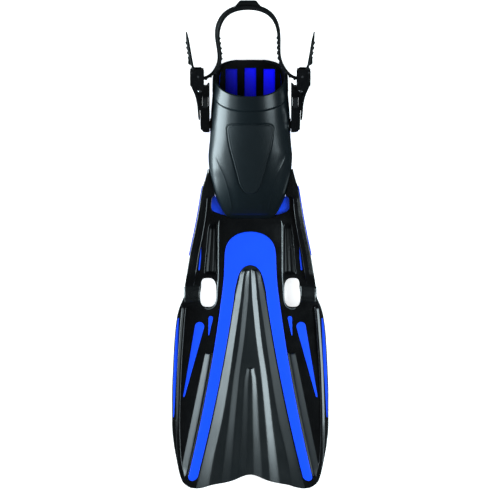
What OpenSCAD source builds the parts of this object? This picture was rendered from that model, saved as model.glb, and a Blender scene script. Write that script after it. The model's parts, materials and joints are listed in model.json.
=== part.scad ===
// Open-heel swim fin: foot section, pivoting blade, heel strap and two quick-release buckles.
// Frame: origin at the centre of the sole's rest face, +Y to the heel, +Z up, the blade runs to -Y.
// Right pieces lie at +X; each left piece is the mirror image of its right one.

/* [Foot pocket] */
// Half width of the foot pocket at the ball of the foot
pocket_half_w = 60; // [54:0.5:64]
// Height of the instep rim above the floor
instep_h = 96; // [88:1:104]
// Wall thickness of the foot pocket
wall = 3.6; // [3:0.1:5]
// Facets across the foot pocket vault
vault_steps = 28; // [20:2:34]
// Facets along the foot pocket
vault_rows = 22; // [16:1:26]

/* [Sole] */
// Thickness of the outsole tread
tread_t = 6; // [5:0.5:7]
// Thickness of the blue sole plate
chassis_t = 4; // [3:0.5:5]
// Thickness of the footbed
footbed_t = 4; // [3:0.5:5]
// Width of each slot in the footbed
slot_w = 16.5; // [12:0.5:18]
// Spacing of the three slots
slot_pitch = 27; // [24:0.5:30]

/* [Blade] */
// Height of the pivot above the floor
pivot_z = 26; // [25.5:0.5:30]
// Distance from the origin to the pivot
pivot_y = 233; // [230:1:240]
// Downward slope of the blade
blade_slope = 4; // [3:0.25:4]
// Half thickness of the blade frame
blade_ht = 1.5; // [1.2:0.1:2]
// Half height of the blue spines
spine_ht = 3.2; // [2.5:0.1:3.5]
// Depth of the pleats
pleat_depth = 4.6; // [3:0.1:5]
// Thickness of the membranes
membrane_t = 1.8; // [1.4:0.1:2.2]
// Radius of the pivot barrel
barrel_r = 3.5; // [3:0.1:4]

/* [Strap] */
// Rest pitch of the strap and buckles above the sole plane
strap_pitch = 8; // [6:0.5:10]
// Width of the strap
strap_w = 26; // [22:0.5:26]
// Thickness of the strap's loop
strap_t = 3.4; // [2.8:0.1:4]
// Thickness of the strap's tail
tail_t = 2.2; // [2:0.1:2.2]
// Height of the strap's teeth
tooth_h = 1.6; // [1.2:0.1:1.6]
// Pitch of the strap's teeth
tooth_pitch = 7.3; // [6.5:0.1:8]

/* [Buckles] */
// Radius of the stud that each buckle swivels on
stud_r = 5.5; // [5:0.1:6]
// Radial running clearance
clearance = 0.08; // [0.05:0.01:0.1]
// Distance from the middle plane to a buckle's inner face
buckle_x = 58; // [58:0.1:59]
// Radius of the strap roller
roller_r = 3.2; // [3:0.05:3.2]

/* [Hidden] */
$fn = 48;
BLACK = [0.06, 0.065, 0.07];
GREY = [0.20, 0.22, 0.23];
BLUE = [0.05, 0.38, 0.98];
STEEL = [0.72, 0.73, 0.75];
// Undersides of the sole plate and of the footbed
z_chassis = tread_t;
z_bed = tread_t + chassis_t;
// Axis of the studs
stud_y = 7;
stud_z = 45;

// ---------- lists and curves ----------

function lerp(start, end, share) = start + (end - start) * share;
// Evenly spaced values from start to end, both included
function samples(start, end, steps) = [for (i = [0:steps]) lerp(start, end, i / steps)];
function rev(list) = [for (i = [len(list) - 1:-1:0]) list[i]];
function rest(list) = [for (i = [1:len(list) - 1]) list[i]];
function flat(rows) = [for (row = rows) each row];
function flip_x(outline) = [for (p = outline) [-p.x, p.y]];
// A half outline closed by its mirror image
function both_halves(half) = concat(half, rev(flip_x(half)));
// Rectangle centred on the middle plane
function rectangle(half, y0, y1) = [[half, y0], [half, y1], [-half, y1], [-half, y0]];

// Catmull-Rom blend from p1 to p2
function blend(p0, p1, p2, p3, share) =
  0.5 * (
    (2 * p1) + (p2 - p0) * share
    + (2 * p0 - 5 * p1 + 4 * p2 - p3) * share * share
    + (3 * p1 - p0 - 3 * p2 + p3) * share * share * share
  );
// Smooth curve through control points
function smooth(controls, steps) = let (last = len(controls) - 1) [
  for (i = [0:last - 1]) for (k = [0:steps - 1])
    blend(
      controls[max(i - 1, 0)], controls[i], controls[i + 1], controls[min(i + 2, last)], k / steps
    ),
  controls[last]
];

// ---------- placing and extruding ----------

module left() { mirror([1, 0, 0]) children(); }
module both_sides() { for (side = [0, 1]) mirror([side, 0, 0]) children(); }

// Blade and throat share one sloping plane through the pivot
module blade_plane() {
  translate([0, -pivot_y, pivot_z]) rotate([blade_slope, 0, 0]) children();
}
// Origin between the studs: x across, y along the strap, z across the band
module strap_plane() {
  translate([0, stud_y, stud_z]) rotate([strap_pitch, 0, 0]) children();
}
// x outward from the buckle's inner face, y along the buckle, z across it
module buckle_space() { strap_plane() translate([buckle_x, 0, 0]) children(); }

module prism(z0, z1, outline) {
  translate([0, 0, z0]) linear_extrude(height = z1 - z0) polygon(outline);
}
// Extrudes a y-z profile from x0 to x1
module profile_x(x0, x1) {
  translate([x0, 0, 0]) rotate([90, 0, 90]) linear_extrude(height = x1 - x0) children();
}
module rod_x(x0, radius, length) {
  translate([x0, 0, 0]) rotate([0, 90, 0]) cylinder(r = radius, h = length);
}
// Cylinder along z, centred on z = 0
module rod_z(centre, radius, half) {
  translate([centre.x, centre.y, -half]) cylinder(r = radius, h = 2 * half);
}

// ---------- skins over grids of points ----------

function quad(a, b, c, d) = [[a, b, c], [a, c, d]];

// Faces between an upper and a lower grid, listed one after the other; the last row stays open
function shell_faces(rows, cols) = let (low = rows * cols) concat(
  [for (i = [0:rows - 2]) for (j = [0:cols - 2]) let (at = i * cols + j)
    each quad(at, at + 1, at + cols + 1, at + cols)],
  [for (i = [0:rows - 2]) for (j = [0:cols - 2]) let (at = low + i * cols + j)
    each quad(at + 1, at, at + cols, at + cols + 1)],
  [for (j = [0:cols - 2]) each quad(j + 1, j, low + j, low + j + 1)],
  [for (i = [0:rows - 2]) let (at = i * cols)
    each quad(at, at + cols, low + at + cols, low + at)],
  [for (i = [0:rows - 2]) let (at = i * cols + cols - 1)
    each quad(at + cols, at, low + at, low + at + cols)]
);

// Sheet between two grids of the same size
module sheet(upper, lower) {
  rows = len(upper);
  cols = len(upper[0]);
  low = rows * cols;
  end_edge = [
    for (j = [0:cols - 2]) let (at = (rows - 1) * cols + j)
      each quad(at, at + 1, low + at + 1, low + at)
  ];
  polyhedron(
    points = concat(flat(upper), flat(lower)),
    faces = concat(shell_faces(rows, cols), end_edge)
  );
}

// Closed skin over rows that are each a closed loop, ends capped
module loft(rows) {
  count = len(rows);
  cols = len(rows[0]);
  sides = [
    for (i = [0:count - 2]) for (j = [0:cols - 1])
      let (at = i * cols, next = (j + 1) % cols)
      each quad(at + j, at + next, at + cols + next, at + cols + j)
  ];
  first_cap = [for (j = [cols - 1:-1:0]) j];
  last_cap = [for (j = [0:cols - 1]) (count - 1) * cols + j];
  polyhedron(points = flat(rows), faces = concat(sides, [first_cap, last_cap]));
}

// ---------- foot pocket ----------

toe_y = -127;
// The open rim slants from the floor at the heel to the top of the instep
rim_low_y = 100;
rim_top_y = 46;
// Height at which the cross section is widest
widest_z = 36;
// Width at the floor as a share of the widest
floor_share = 0.9;
// Section angles run from -floor_angle to 180 + floor_angle, with 90 at the top
floor_angle = 30;
vault_power = 0.87;
// The heel end closes in a rounded curve
heel_start_y = 60;
heel_run = 40.6;
heel_share = 0.89;
heel_power = 3.5;

// [y, share of pocket_half_w], widest at the ball of the foot
POCKET_WIDTHS = [
  [-127, 0.46], [-124, 0.55], [-116, 0.66], [-104, 0.765], [-92, 0.845],
  [-80, 0.90], [-70, 0.935], [-54, 0.985], [-37, 1], [-26, 0.985],
  [-9, 0.96], [7, 0.95], [26, 0.937], [43, 0.913], [heel_start_y, heel_share]
];
// [y, share of instep_h]
VAULT_HEIGHTS = [
  [-127, 0.40], [-124, 0.44], [-116, 0.525], [-104, 0.61], [-85, 0.70],
  [-60, 0.785], [-20, 0.885], [20, 0.965], [46, 1]
];

function half_width(y) =
  pocket_half_w * (
    y <= heel_start_y ? lookup(y, POCKET_WIDTHS)
    : heel_share * pow(
        max(0.02, 1 - pow((y - heel_start_y) / heel_run, heel_power)), 1 / heel_power
      )
  );
function top_height(y) = instep_h * lookup(y, VAULT_HEIGHTS);

// Cross section: an arch on two side walls that draw in towards the floor
function is_side(angle) = angle < 0 || angle > 180;
function side_share(angle) = (angle < 0 ? -angle : angle - 180) / floor_angle;
function section_x(angle) =
  is_side(angle)
  ? (angle < 0 ? 1 : -1) * (1 - (1 - floor_share) * pow(side_share(angle), 2))
  : sign(cos(angle)) * pow(abs(cos(angle)), vault_power);
function section_z(angle, height) =
  is_side(angle)
  ? lerp(widest_z, z_bed, side_share(angle))
  : widest_z + (height - widest_z) * pow(sin(angle), vault_power);

// One point of the vault: share runs from the slanted rim to the toe; inset moves it inward
function vault_point(share, angle, inset) =
  let (
    y_low = lerp(rim_low_y, toe_y + inset, share),
    y_top = lerp(rim_top_y, toe_y + inset, share),
    height = top_height(y_top) - inset,
    z = section_z(angle, height),
    y = lerp(y_low, y_top, (z - z_bed) / (height - z_bed)),
    half = max(half_width(y) - inset, 2)
  ) [half * section_x(angle), y, z];

// Rows crowd together at the heel and at the toe
function row_share(share) = 0.35 * share + 0.325 * (1 - cos(180 * share));
function vault_skin(inset) = [
  for (i = [0:vault_rows]) [
    for (j = [0:vault_steps])
      vault_point(
        row_share(i / vault_rows),
        -floor_angle + (180 + 2 * floor_angle) * j / vault_steps,
        inset
      )
  ]
];

module foot_pocket() {
  cols = vault_steps + 1;
  rows = vault_rows + 1;
  low = rows * cols;
  // First and last point of the outer skin's toe row
  toe_first = (rows - 1) * cols;
  toe_last = toe_first + cols - 1;
  polyhedron(
    points = concat(flat(vault_skin(0)), flat(vault_skin(wall))),
    faces = concat(
      shell_faces(rows, cols),
      [
        [for (j = [0:cols - 1]) toe_first + j],
        [for (j = [cols - 1:-1:0]) low + toe_first + j],
        [toe_first, toe_last, low + toe_last, low + toe_first]
      ]
    )
  );
}

// Shield on the instep: [y, half width]
SHIELD_WIDTHS = [
  [-92, 3], [-89, 9], [-79, 15.5], [-47, 24], [-23, 30.5], [0, 33], [4, 31], [6.4, 24]
];
// Section angle at which the vault reaches x
function vault_angle(x, y) =
  90 - sign(x) * (90 - acos(pow(abs(x) / half_width(y), 1 / vault_power)));
function shield_skin(lift) = [
  for (y = samples(6.4, -92, 16)) let (half = lookup(y, SHIELD_WIDTHS)) [
    for (x = samples(half, -half, 10))
      vault_point((rim_top_y - y) / (rim_top_y - toe_y), vault_angle(x, y), -lift)
  ]
];

module instep_panel() { sheet(shield_skin(1.5), shield_skin(0.55)); }

// ---------- sole ----------

slot_toe_y = -62;
slot_heel_y = 89;
tread_groove_pitch = 14;

function sole_outline(y0, y1, inset, steps) =
  both_halves([for (y = samples(y0, y1, steps)) [floor_share * half_width(y) - inset, y]]);

// Footbed slot with a round toe end
module slot(x, heel_y) {
  toe_centre = slot_toe_y + slot_w / 2;
  height = footbed_t + 2;
  translate([x, 0, z_bed - 1]) {
    translate([-slot_w / 2, toe_centre, 0]) cube([slot_w, heel_y - toe_centre, height]);
    translate([0, toe_centre, 0]) cylinder(r = slot_w / 2, h = height);
  }
}

module footbed() {
  heel_edge = [[-24, 96.5], [-17, 99.8], [17, 99.8], [24, 96.5]];
  heel_lip = [[30, 96.2], [24, 99], [19, 99.8], [-19, 99.8], [-24, 99], [-30, 96.2]];
  inset = floor_share * wall + 1.2;
  difference() {
    union() {
      prism(
        z_bed, z_bed + footbed_t, concat(sole_outline(92, toe_y + wall + 2, inset, 29), heel_edge)
      );
      // lip beyond the heel end of the sole plate
      prism(z_chassis, z_bed, heel_lip);
    }
    for (k = [-1:1]) slot(k * slot_pitch, slot_heel_y - abs(k) * 1.5);
  }
}

// Shoulder beside the toe: outside the pocket's plan, so the vault never meets it
module shoulder() {
  outer_edge = [[34, -126], [50.7, -120.7], [56.8, -111.5], [56.8, -96]];
  pocket_edge = [for (y = samples(-93, -126, 10)) [half_width(y) + 0.4, y]];
  prism(z_chassis, 30, concat(pocket_edge, outer_edge));
  prism(z_chassis, z_bed, concat([[20, -93], [20, -126]], outer_edge));
}

module chassis() {
  toe_wall_half = 33;
  union() {
    prism(z_chassis, z_bed, sole_outline(96, -127, 0, 40));
    both_sides() shoulder();
    // wall across the toe, and the strip that ties it to the plate
    prism(z_chassis, 29.8, rectangle(toe_wall_half, -127.8, -134));
    prism(z_chassis, z_bed, rectangle(toe_wall_half, -126, -128.5));
  }
}

module sole_tread() {
  difference() {
    prism(0, tread_t, sole_outline(98, -112, 1.2, 30));
    // cross grooves, none in the middle of the sole
    for (k = [-7:6]) if (abs(k) >= 2)
      translate([-70, k * tread_groove_pitch, -1]) cube([140, 3, 2.8]);
  }
}

// ---------- rails and throat, in the blade plane; y counts from the pivot to the heel ----------

// Outer edge of the rails, from the pivot to beside the toes: [y, x]
RAIL_EDGE = [
  [0, 95], [13, 93.2], [36, 89.4], [59, 85.6], [81, 80.8],
  [104, 76.2], [127, 72.2], [150, 68.6], [161.5, 64.8], [178, 60.6]
];
// [y, width]; the rails reach in to the pocket at their heel end
RAIL_WIDTHS = [[0, 13], [60, 13], [104, 12], [140, 11.5], [143, 30], [178, 30]];
RAIL_YS = concat(samples(6.4, 136, 17), [140, 143, 148, 154, 160, 166, 171.5, 177]);
// Side view of a rail: [y, z]
RAIL_PROFILE = [
  [6.4, -8], [40, -9], [110, -8], [150, -4], [177.5, 2],
  [177.5, 5], [150, 9], [110, 10], [40, 9], [6.4, 8]
];

function rail_out(y) = lookup(y, RAIL_EDGE);
// Inner edge, kept clear of the pocket
function rail_in(y) =
  max(rail_out(y) - lookup(y, RAIL_WIDTHS), half_width(y - pivot_y) + 0.6);
// Outer edge as drawn: straight between the stations of RAIL_YS
function rail_facet(y) = lookup(y, [for (station = RAIL_YS) [station, rail_out(station)]]);
function rail_outline() = concat(
  [for (y = RAIL_YS) [rail_out(y), y]],
  [for (y = rev(RAIL_YS)) [min(rail_in(y), rail_out(y) - 0.3), y]]
);

module side_rail() {
  blade_plane() intersection() {
    prism(-12, 12, rail_outline());
    profile_x(40, 110) polygon(RAIL_PROFILE);
  }
}

module rail_strip() {
  ys = concat([54], [for (y = RAIL_YS) if (y > 54 && y < 153) y], [153]);
  blade_plane() prism(-2.6, 2.6, concat(
    [for (y = ys) [rail_facet(y) + 1.35, y]],
    [for (y = rev(ys)) [rail_facet(y) + 0.05, y]]
  ));
}

module rail_inlay() {
  blade_plane() prism(2, 3, [[70.2, 66], [72.4, 50], [74.2, 33], [72.2, 33], [70.4, 50]]);
}

// Oval hole beside the pivot: nearly straight outside, bulged inside
module side_hole() {
  inner_x = 58.6;
  inner_r = 10;
  outer_x = 61.6;
  outer_r = 10.2;
  translate([0, 0, -9]) linear_extrude(height = 18) union() {
    translate([inner_x, 8]) circle(r = inner_r);
    translate([outer_x, 11]) circle(r = outer_r);
    translate([inner_x, -9]) circle(r = inner_r);
    translate([outer_x, -9.4]) circle(r = outer_r);
    polygon([
      [inner_x - inner_r, 8], [inner_x - inner_r, -9],
      [outer_x + outer_r, -9.4], [outer_x + outer_r, 11]
    ]);
  }
}

// Right half of the arch, from the middle out: control points [x, y]
ARCH_OUTER = smooth([
  [0, 88], [9, 87.2], [18, 84.4], [26, 79.4], [31.5, 73], [35, 65],
  [36.6, 54], [37, 42], [37.6, 28], [38.6, 14], [39.4, 6.4]
], 3);
ARCH_NOTCH = smooth([
  [0, 40], [6, 39.2], [11.5, 36.2], [15, 31], [17.4, 24], [20, 14], [21.6, 6.4]
], 3);
ARCH = concat(
  ARCH_OUTER, rev(ARCH_NOTCH), flip_x(rest(ARCH_NOTCH)), rev(flip_x(rest(ARCH_OUTER)))
);

module arch_panel() { blade_plane() prism(-3, 2.9, ARCH); }

// Open knuckle that holds the pivot barrel, open towards the blade
module knuckle(x0, x1, root_length) {
  profile_x(x0, x1) difference() {
    union() {
      circle(r = 6);
      translate([3, -3]) square([root_length, 5]);
    }
    circle(r = barrel_r + clearance);
    polygon([[0, 0], [-12, 14.3], [-12, -14.3]]);
  }
}

module throat_plate() {
  ys = concat([6.2], [for (y = RAIL_YS) if (y <= 136.1) y]);
  // heel-side edge of the plate, round the toe
  toe_edge = [
    [55, 136], [56.6, 134], [57.4, 127.3], [57.6, 120.3],
    [51.8, 115.8], [37, 110.8], [30, 107.2], [28, 104.6]
  ];
  trough_r = 7.2;
  blade_plane() union() {
    difference() {
      prism(-3, 2, both_halves(concat([for (y = ys) [rail_in(y) - 0.05, y]], toe_edge)));
      prism(-4, 4, ARCH);
      both_sides() {
        // trough along the upper face, with a round heel end
        translate([53, 12, 6]) rotate([-90, 0, 0]) cylinder(r = trough_r, h = 88);
        translate([53, 100, 6]) sphere(r = trough_r);
        side_hole();
      }
    }
    knuckle(-47.6, 47.6, root_length = 3.4);
  }
}

module flex_band() { blade_plane() knuckle(72.6, 94.2, root_length = 3.15); }

// ---------- studs ----------

module stud() {
  translate([0, stud_y, stud_z]) rotate([0, 90, 0]) {
    // flange, post and cap
    translate([0, 0, buckle_x - 3.4]) cylinder(r = 9, h = 3);
    translate([0, 0, buckle_x - 1]) cylinder(r = stud_r, h = 12.5);
    translate([0, 0, buckle_x + 11.4]) cylinder(r1 = 7.4, r2 = 6.8, h = 1.5);
  }
}

// ---------- blade, in the blade plane; run is the distance from the pivot to the tail ----------

blade_start = 9;
spine_gap = 0.4;
spine_tip_run = 263;
// Ends of the outer channels
channel_start = 84.5;
channel_end = 264;
inlay_top = 2;
edge_rail_end = 258;
// Barrels on the pivot: the middle one and one at each side
barrel_half = 47.5;
side_barrel_x = 73;

// [run, half width of the blade]
BLADE_WIDTHS = [
  [9, 97], [21.5, 101.6], [33, 104.6], [56, 107.6], [101, 110.4], [147, 112],
  [190, 112], [216, 109.6], [239, 105.6], [262, 100.6], [272, 96], [277, 91]
];
// Scalloped tail: [distance from the middle plane, run]
TAIL = [
  [0, 261], [10, 263], [22, 268], [36, 272.6], [55, 276],
  [66, 279.4], [76, 281], [85, 280], [91, 277]
];
// Stations of the outline: runs down the side, then x across the tail
SIDE_RUNS = [
  8.8, 15, 21.5, 27, 33, 44, 56, 78, 101, 124,
  147, 170, 190, 203, 216, 228, 239, 250, 262, 272
];
TAIL_XS = [91, 85, 80, 76, 71, 66, 60, 55, 45, 36, 29, 22, 16, 10, 5, 0];
// Centre line of the edge rails: [run, x]
EDGE_RAIL = [
  [9, 92.4], [20, 94.6], [60, 98.2], [120, 101.8], [190, 103.6],
  [216, 103], [240, 101.4], [266, 96.2]
];

function blade_half(run) = lookup(run, BLADE_WIDTHS);
function tail_run(x) = lookup(abs(x), TAIL);
// Centre line, half width and edges of the right spine
function spine_x(run) = 31.2 + 0.137 * run + 0.00021 * run * run;
function spine_half(run) = 9.0 - 0.0085 * run;
function spine_in(run) = spine_x(run) - spine_half(run);
function spine_out(run) = spine_x(run) + spine_half(run);
// Outer edge of the right outer channel
function channel_out(run) = 66 + (run - channel_start) * 0.155;

function blade_outline() = both_halves(concat(
  [for (run = SIDE_RUNS) [blade_half(run), -run]],
  [for (x = TAIL_XS) [x, -tail_run(x)]]
));

SPINE_RUNS = [for (run = [blade_start:13:256]) run];
SPINE = concat(
  [for (run = SPINE_RUNS) [spine_in(run), -run]],
  [for (angle = [180:20:360])
    [spine_x(spine_tip_run), -spine_tip_run]
    + spine_half(spine_tip_run) * [cos(angle), sin(angle)]],
  [for (run = rev(SPINE_RUNS)) [spine_out(run), -run]]
);

// Openings in the frame for the membranes; they reach under the spines
function centre_window() = both_halves(concat(
  [for (run = [blade_start:12:257]) [spine_x(run), -run]],
  [for (run = [268, 292]) [spine_in(run), -run]]
));
function outer_window() = let (runs = samples(channel_start, channel_end, 16)) concat(
  [for (run = runs) [run < 258 ? spine_x(run) : spine_out(run), -run]],
  [for (run = rev(runs)) [channel_out(run), -run]]
);

// Slim inlay: a round head towards the pivot and a narrow tip towards the tail
function inlay_outline(head, head_r, tip, tip_r) =
  let (slant = atan2(tip.y - head.y, tip.x - head.x)) concat(
    [for (angle = samples(slant + 90, slant + 270, 10)) head + head_r * [cos(angle), sin(angle)]],
    [for (angle = samples(slant - 90, slant + 90, 6)) tip + tip_r * [cos(angle), sin(angle)]]
  );
SHORT_INLAY = inlay_outline([56.6, -36], 3.1, [59.4, -60], 0.6);
LONG_INLAY = inlay_outline([72.6, -48], 6.6, [95, -148], 1.2);

// Crescent just inside the blade's edge
function strip_point(share, inward) =
  let (
    run = lerp(36, 178, share),
    width = 5.2 * pow(sin(15 + 150 * share), 0.6) * lerp(1, 0.6, share)
  ) [blade_half(run) - 1.6 - inward * width, -run];
EDGE_STRIP = let (shares = samples(0, 1, 12)) concat(
  [for (share = shares) strip_point(share, 0)],
  [for (share = rev(shares)) strip_point(share, 1)]
);

function edge_rail_outline() = let (runs = samples(12, edge_rail_end, 16)) concat(
  [for (run = runs) [lookup(run, EDGE_RAIL) + 3, -run]],
  [for (run = rev(runs)) [lookup(run, EDGE_RAIL) - 3, -run]]
);

module blade_frame() {
  blade_plane() union() {
    difference() {
      prism(-blade_ht, blade_ht, blade_outline());
      prism(-4, 4, centre_window());
      both_sides() {
        prism(-4, 4, SPINE);
        prism(-4, 4, outer_window());
        side_hole();
        prism(0, 4, SHORT_INLAY);
        prism(0, 4, LONG_INLAY);
        prism(0, 4, EDGE_STRIP);
        prism(-4, 4, edge_rail_outline());
      }
    }
    // barrels, each with the web that joins it to the blade
    translate([-barrel_half, -9, -blade_ht]) cube([2 * barrel_half, 7.4, 2 * blade_ht]);
    rod_x(-barrel_half, barrel_r, 2 * barrel_half);
    both_sides() {
      translate([side_barrel_x, -9.2, -blade_ht]) cube([21, 7.6, 2 * blade_ht]);
      rod_x(side_barrel_x, barrel_r, 21.4);
    }
  }
}

module blade_rail() {
  // height of the floor in the blade plane at the rail's tail end
  floor_z = -(pivot_z - edge_rail_end * sin(blade_slope)) / cos(blade_slope);
  blade_plane() intersection() {
    prism(-12, 12, edge_rail_outline());
    profile_x(60, 120) polygon([
      [-12, -7.6], [-60, -9], [-edge_rail_end, floor_z],
      [-edge_rail_end, 2.2], [-200, 3.4], [-60, 8], [-12, 7.2]
    ]);
  }
}

module spine() { blade_plane() prism(-spine_ht, spine_ht, SPINE); }
module short_inlay() { blade_plane() prism(0, inlay_top, SHORT_INLAY); }
module long_inlay() { blade_plane() prism(0, inlay_top, LONG_INLAY); }
module edge_strip() { blade_plane() prism(0, inlay_top, EDGE_STRIP); }

// ---------- membranes ----------

membrane_top = 1.4;
// Fold lines of the centre membrane beyond its outer edge, from the outside in: [run, x].
// Outer wall, valley, inner wall, terrace, then a low ridge on the centre line
FOLDS = [
  [[0, 12.6], [10, 14], [67, 23], [124, 31], [182, 40.5], [232, 52], [282, 61]],
  [[0, 8.2], [10, 9], [67, 14.4], [124, 22.8], [182, 30], [232, 36], [282, 42]],
  [[0, 3.5], [10, 4.3], [67, 10], [124, 17], [182, 22], [232, 26], [282, 30]],
  [[0, 2.2], [111, 4.8], [124, 8], [182, 11.5], [232, 14.5], [282, 17]],
  [[0, 1.1], [111, 1.6], [124, 2.8], [182, 3.6], [232, 4.5], [282, 5.4]]
];

function tail_fade(run) = min(1, 1 - (run - 200) / 330);
function valley_depth(run) = pleat_depth * min(1, 0.35 + run / 90) * tail_fade(run);
function terrace_depth(run) =
  0.5 * pleat_depth * max(0, min(1, (run - 104) / 12)) * tail_fade(run);
// Fold 0 is the outer edge, beside the spine
function fold_x(fold, run) =
  fold == 0 ? spine_in(run) - spine_gap : lookup(run, FOLDS[fold - 1]);
function fold_z(fold, run) =
  let (valley = valley_depth(run), terrace = terrace_depth(run))
  membrane_top - [0, valley, valley, terrace, terrace, 0][fold];
// Where each fold line meets the scalloped tail, found in two steps
FOLD_ENDS = [
  for (fold = [0:5]) let (near = tail_run(fold_x(fold, 270))) tail_run(fold_x(fold, near)) - 0.4
];

// Row of the centre membrane at a share of its length
function centre_row(share) =
  let (
    half = [
      for (fold = [0:5]) let (run = lerp(blade_start, FOLD_ENDS[fold], share))
        [fold_x(fold, run), -run, fold_z(fold, run)]
    ]
  ) concat(half, [for (p = rev(half)) [-p.x, p.y, p.z]]);

// Row of an outer membrane: one valley near the spine
function outer_row(run) =
  let (
    inner = spine_out(run) + spine_gap,
    outer = channel_out(run) - 0.1,
    depth = valley_depth(run) * min(1, 0.2 + (run - channel_start) / 40)
  ) [
    // [share of the width, share of the depth]
    for (fold = [[1, 0], [0.24, 1], [0.14, 1], [0, 0]])
      [lerp(inner, outer, fold[0]), -run, membrane_top - fold[1] * depth]
  ];

module membrane(rows) {
  sheet(rows, [for (row = rows) [for (p = row) [p.x, p.y, p.z - membrane_t]]]);
}

module center_channel() {
  blade_plane() membrane([for (share = samples(0, 1, 22)) centre_row(share)]);
}

module outer_channel() {
  blade_plane() membrane(
    [for (run = samples(channel_start + 0.4, channel_end - 0.3, 16)) outer_row(run)]
  );
}

// ---------- axes in the buckle: [x, y] in buckle space ----------

roller_at = [16, 70.4];
lever_pin_at = [25.4, 76];
receiver_pin_at = [13.8, 49.6];

// ---------- strap, in the strap plane ----------

// Roller axis, and the radius of the strap's middle line round it
bend_centre = [buckle_x + roller_at.x, roller_at.y];
bend_r = roller_r + 0.1 + tail_t / 2;
tail_x = bend_centre.x + bend_r;

// Middle line of the loop's right half, from the heel to the roller: control points [x, y]
LOOP = smooth([
  [0, 168], [13, 166.6], [25, 162.4], [34, 155.4], [40.2, 145.6], [43.2, 134.6], [43.8, 123],
  [43, 111], [42.6, 100], [44, 90], [48, 81], [54.4, 73], [62, 68],
  [bend_centre.x - 4, bend_centre.y - bend_r + 0.02]
], 5);
BEND = [for (angle = [-90:15:0]) bend_centre + bend_r * [cos(angle), sin(angle)]];
TAIL_LINE = [for (y = [73.5:1.825:131]) [tail_x + max(0, y - 82) * 0.235, y]];
PATH = concat(LOOP, BEND, TAIL_LINE);

// Arc length at each point of the path, at its end and where it leaves the roller
function step_length(i) = norm(PATH[i] - PATH[i - 1]);
ARC = [
  for (i = 0, sum = 0; i < len(PATH); i = i + 1, sum = sum + (i < len(PATH) ? step_length(i) : 0))
    sum
];
arc_end = ARC[len(ARC) - 1];
arc_exit = ARC[len(LOOP) + len(BEND) - 1];
first_tooth = arc_exit + 2.4 - 12 * tooth_pitch;
last_tooth = floor((arc_end - 12 - first_tooth) / tooth_pitch);

// [arc length, thickness]
STRAP_THICKNESS = [
  [0, strap_t + 1.6], [20, strap_t + 1.2], [60, strap_t], [arc_exit - 40, strap_t],
  [arc_exit - 22, tail_t], [arc_end - 10, tail_t], [arc_end, 1.6]
];
// One tooth: [arc length from its root, share of its height]
TOOTH = [[0, 0], [0.8, 1], [2.6, 1], [3.2, 0], [5.2, 0]];

PATH_X = [for (i = [0:len(PATH) - 1]) [ARC[i], PATH[i].x]];
PATH_Y = [for (i = [0:len(PATH) - 1]) [ARC[i], PATH[i].y]];
function path_point(arc) = [lookup(arc, PATH_X), lookup(arc, PATH_Y)];
function path_direction(arc) =
  let (chord = path_point(min(arc + 0.6, arc_end)) - path_point(max(arc - 0.6, 0)))
  chord / norm(chord);
// Point beside the path; the positive side faces the foot on the loop
function beside_path(arc, offset) =
  let (along = path_direction(arc)) path_point(arc) + offset * [along.y, -along.x];
function half_thickness(arc) = lookup(arc, STRAP_THICKNESS) / 2;

// Stations of the toothed face: [arc length, share of the tooth height]
TOOTHED_STATIONS = [
  for (arc = [0:4:first_tooth - 1]) [arc, 0],
  for (k = [0:last_tooth]) for (corner = TOOTH)
    [first_tooth + k * tooth_pitch + corner[0], corner[1]],
  [arc_end, 0]
];
// Every second path point, and every one round the roller
PLAIN_STATIONS = [
  for (i = [0:len(ARC) - 1])
    if (i % 2 == 0 || (ARC[i] > arc_exit - 12 && ARC[i] < arc_exit + 2)) ARC[i],
  arc_end
];
// Teeth face the foot on the loop, so they face away from the roller
function toothed_edge() = [
  for (station = TOOTHED_STATIONS)
    beside_path(station[0], half_thickness(station[0]) + station[1] * tooth_h)
];
function plain_edge() = [for (arc = PLAIN_STATIONS) beside_path(arc, -half_thickness(arc))];
// Runs an edge from its right end through the middle plane to its left end
function whole_edge(edge) =
  concat(rev(rest(edge)), [[0, edge[0].y]], flip_x(rest(edge)));

module heel_strap() {
  strap_plane() union() {
    prism(
      -strap_w / 2, strap_w / 2,
      concat(whole_edge(plain_edge()), rev(whole_edge(toothed_edge())))
    );
    // pull tab
    prism(-9, 9, [[-22, 166.4], [-11, 174.6], [11, 174.6], [22, 166.4]]);
    // end stops on the tails
    both_sides() prism(-strap_w / 2, strap_w / 2, [
      [tail_x + 2.2, 89.5], [tail_x + 6.6, 91.6], [tail_x + 6.2, 96.5], [tail_x + 4.2, 101]
    ]);
  }
}

// ---------- buckle, in buckle space ----------

roller_pin_r = 1.5;
lever_pin_r = 1;
receiver_pin_r = 1.6;
// Radial fit of the pins in the receiver
pin_fit = 0.03;
pin_half = 16.6;
// Half width of the parts between the receiver's cheeks
inner_half = 12.8;
// Depth and thickness of the clip's eye block
eye_depth = 13.2;
cheek_t = 2.9;

module buckle_clip() {
  buckle_space() difference() {
    union() {
      // eye block, its outer lower corner rounded off
      intersection() {
        union() {
          rod_x(0, 11, eye_depth);
          translate([0, 0, -10]) cube([eye_depth, 18, 20]);
        }
        prism(-12, 12, [
          [0, -11.2], [6.4, -11.2], [9.6, -9.2], [11.9, -5.2], [13.1, 0.6], [13.1, 18], [0, 18]
        ]);
      }
      // tongue
      translate([2.2, 17, -3]) cube([8, 27, 6]);
    }
    rod_x(-1, stud_r + clearance, 20);
    // room for the stud's flange and for its cap
    rod_x(-1, 9.3, 1.05);
    rod_x(11.3, 7.8, 5);
    // grooves across the eye block's outer face
    for (y = [10.4, 13.6]) translate([12.3, y, -11]) cube([3, 1.2, 22]);
  }
}

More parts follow.
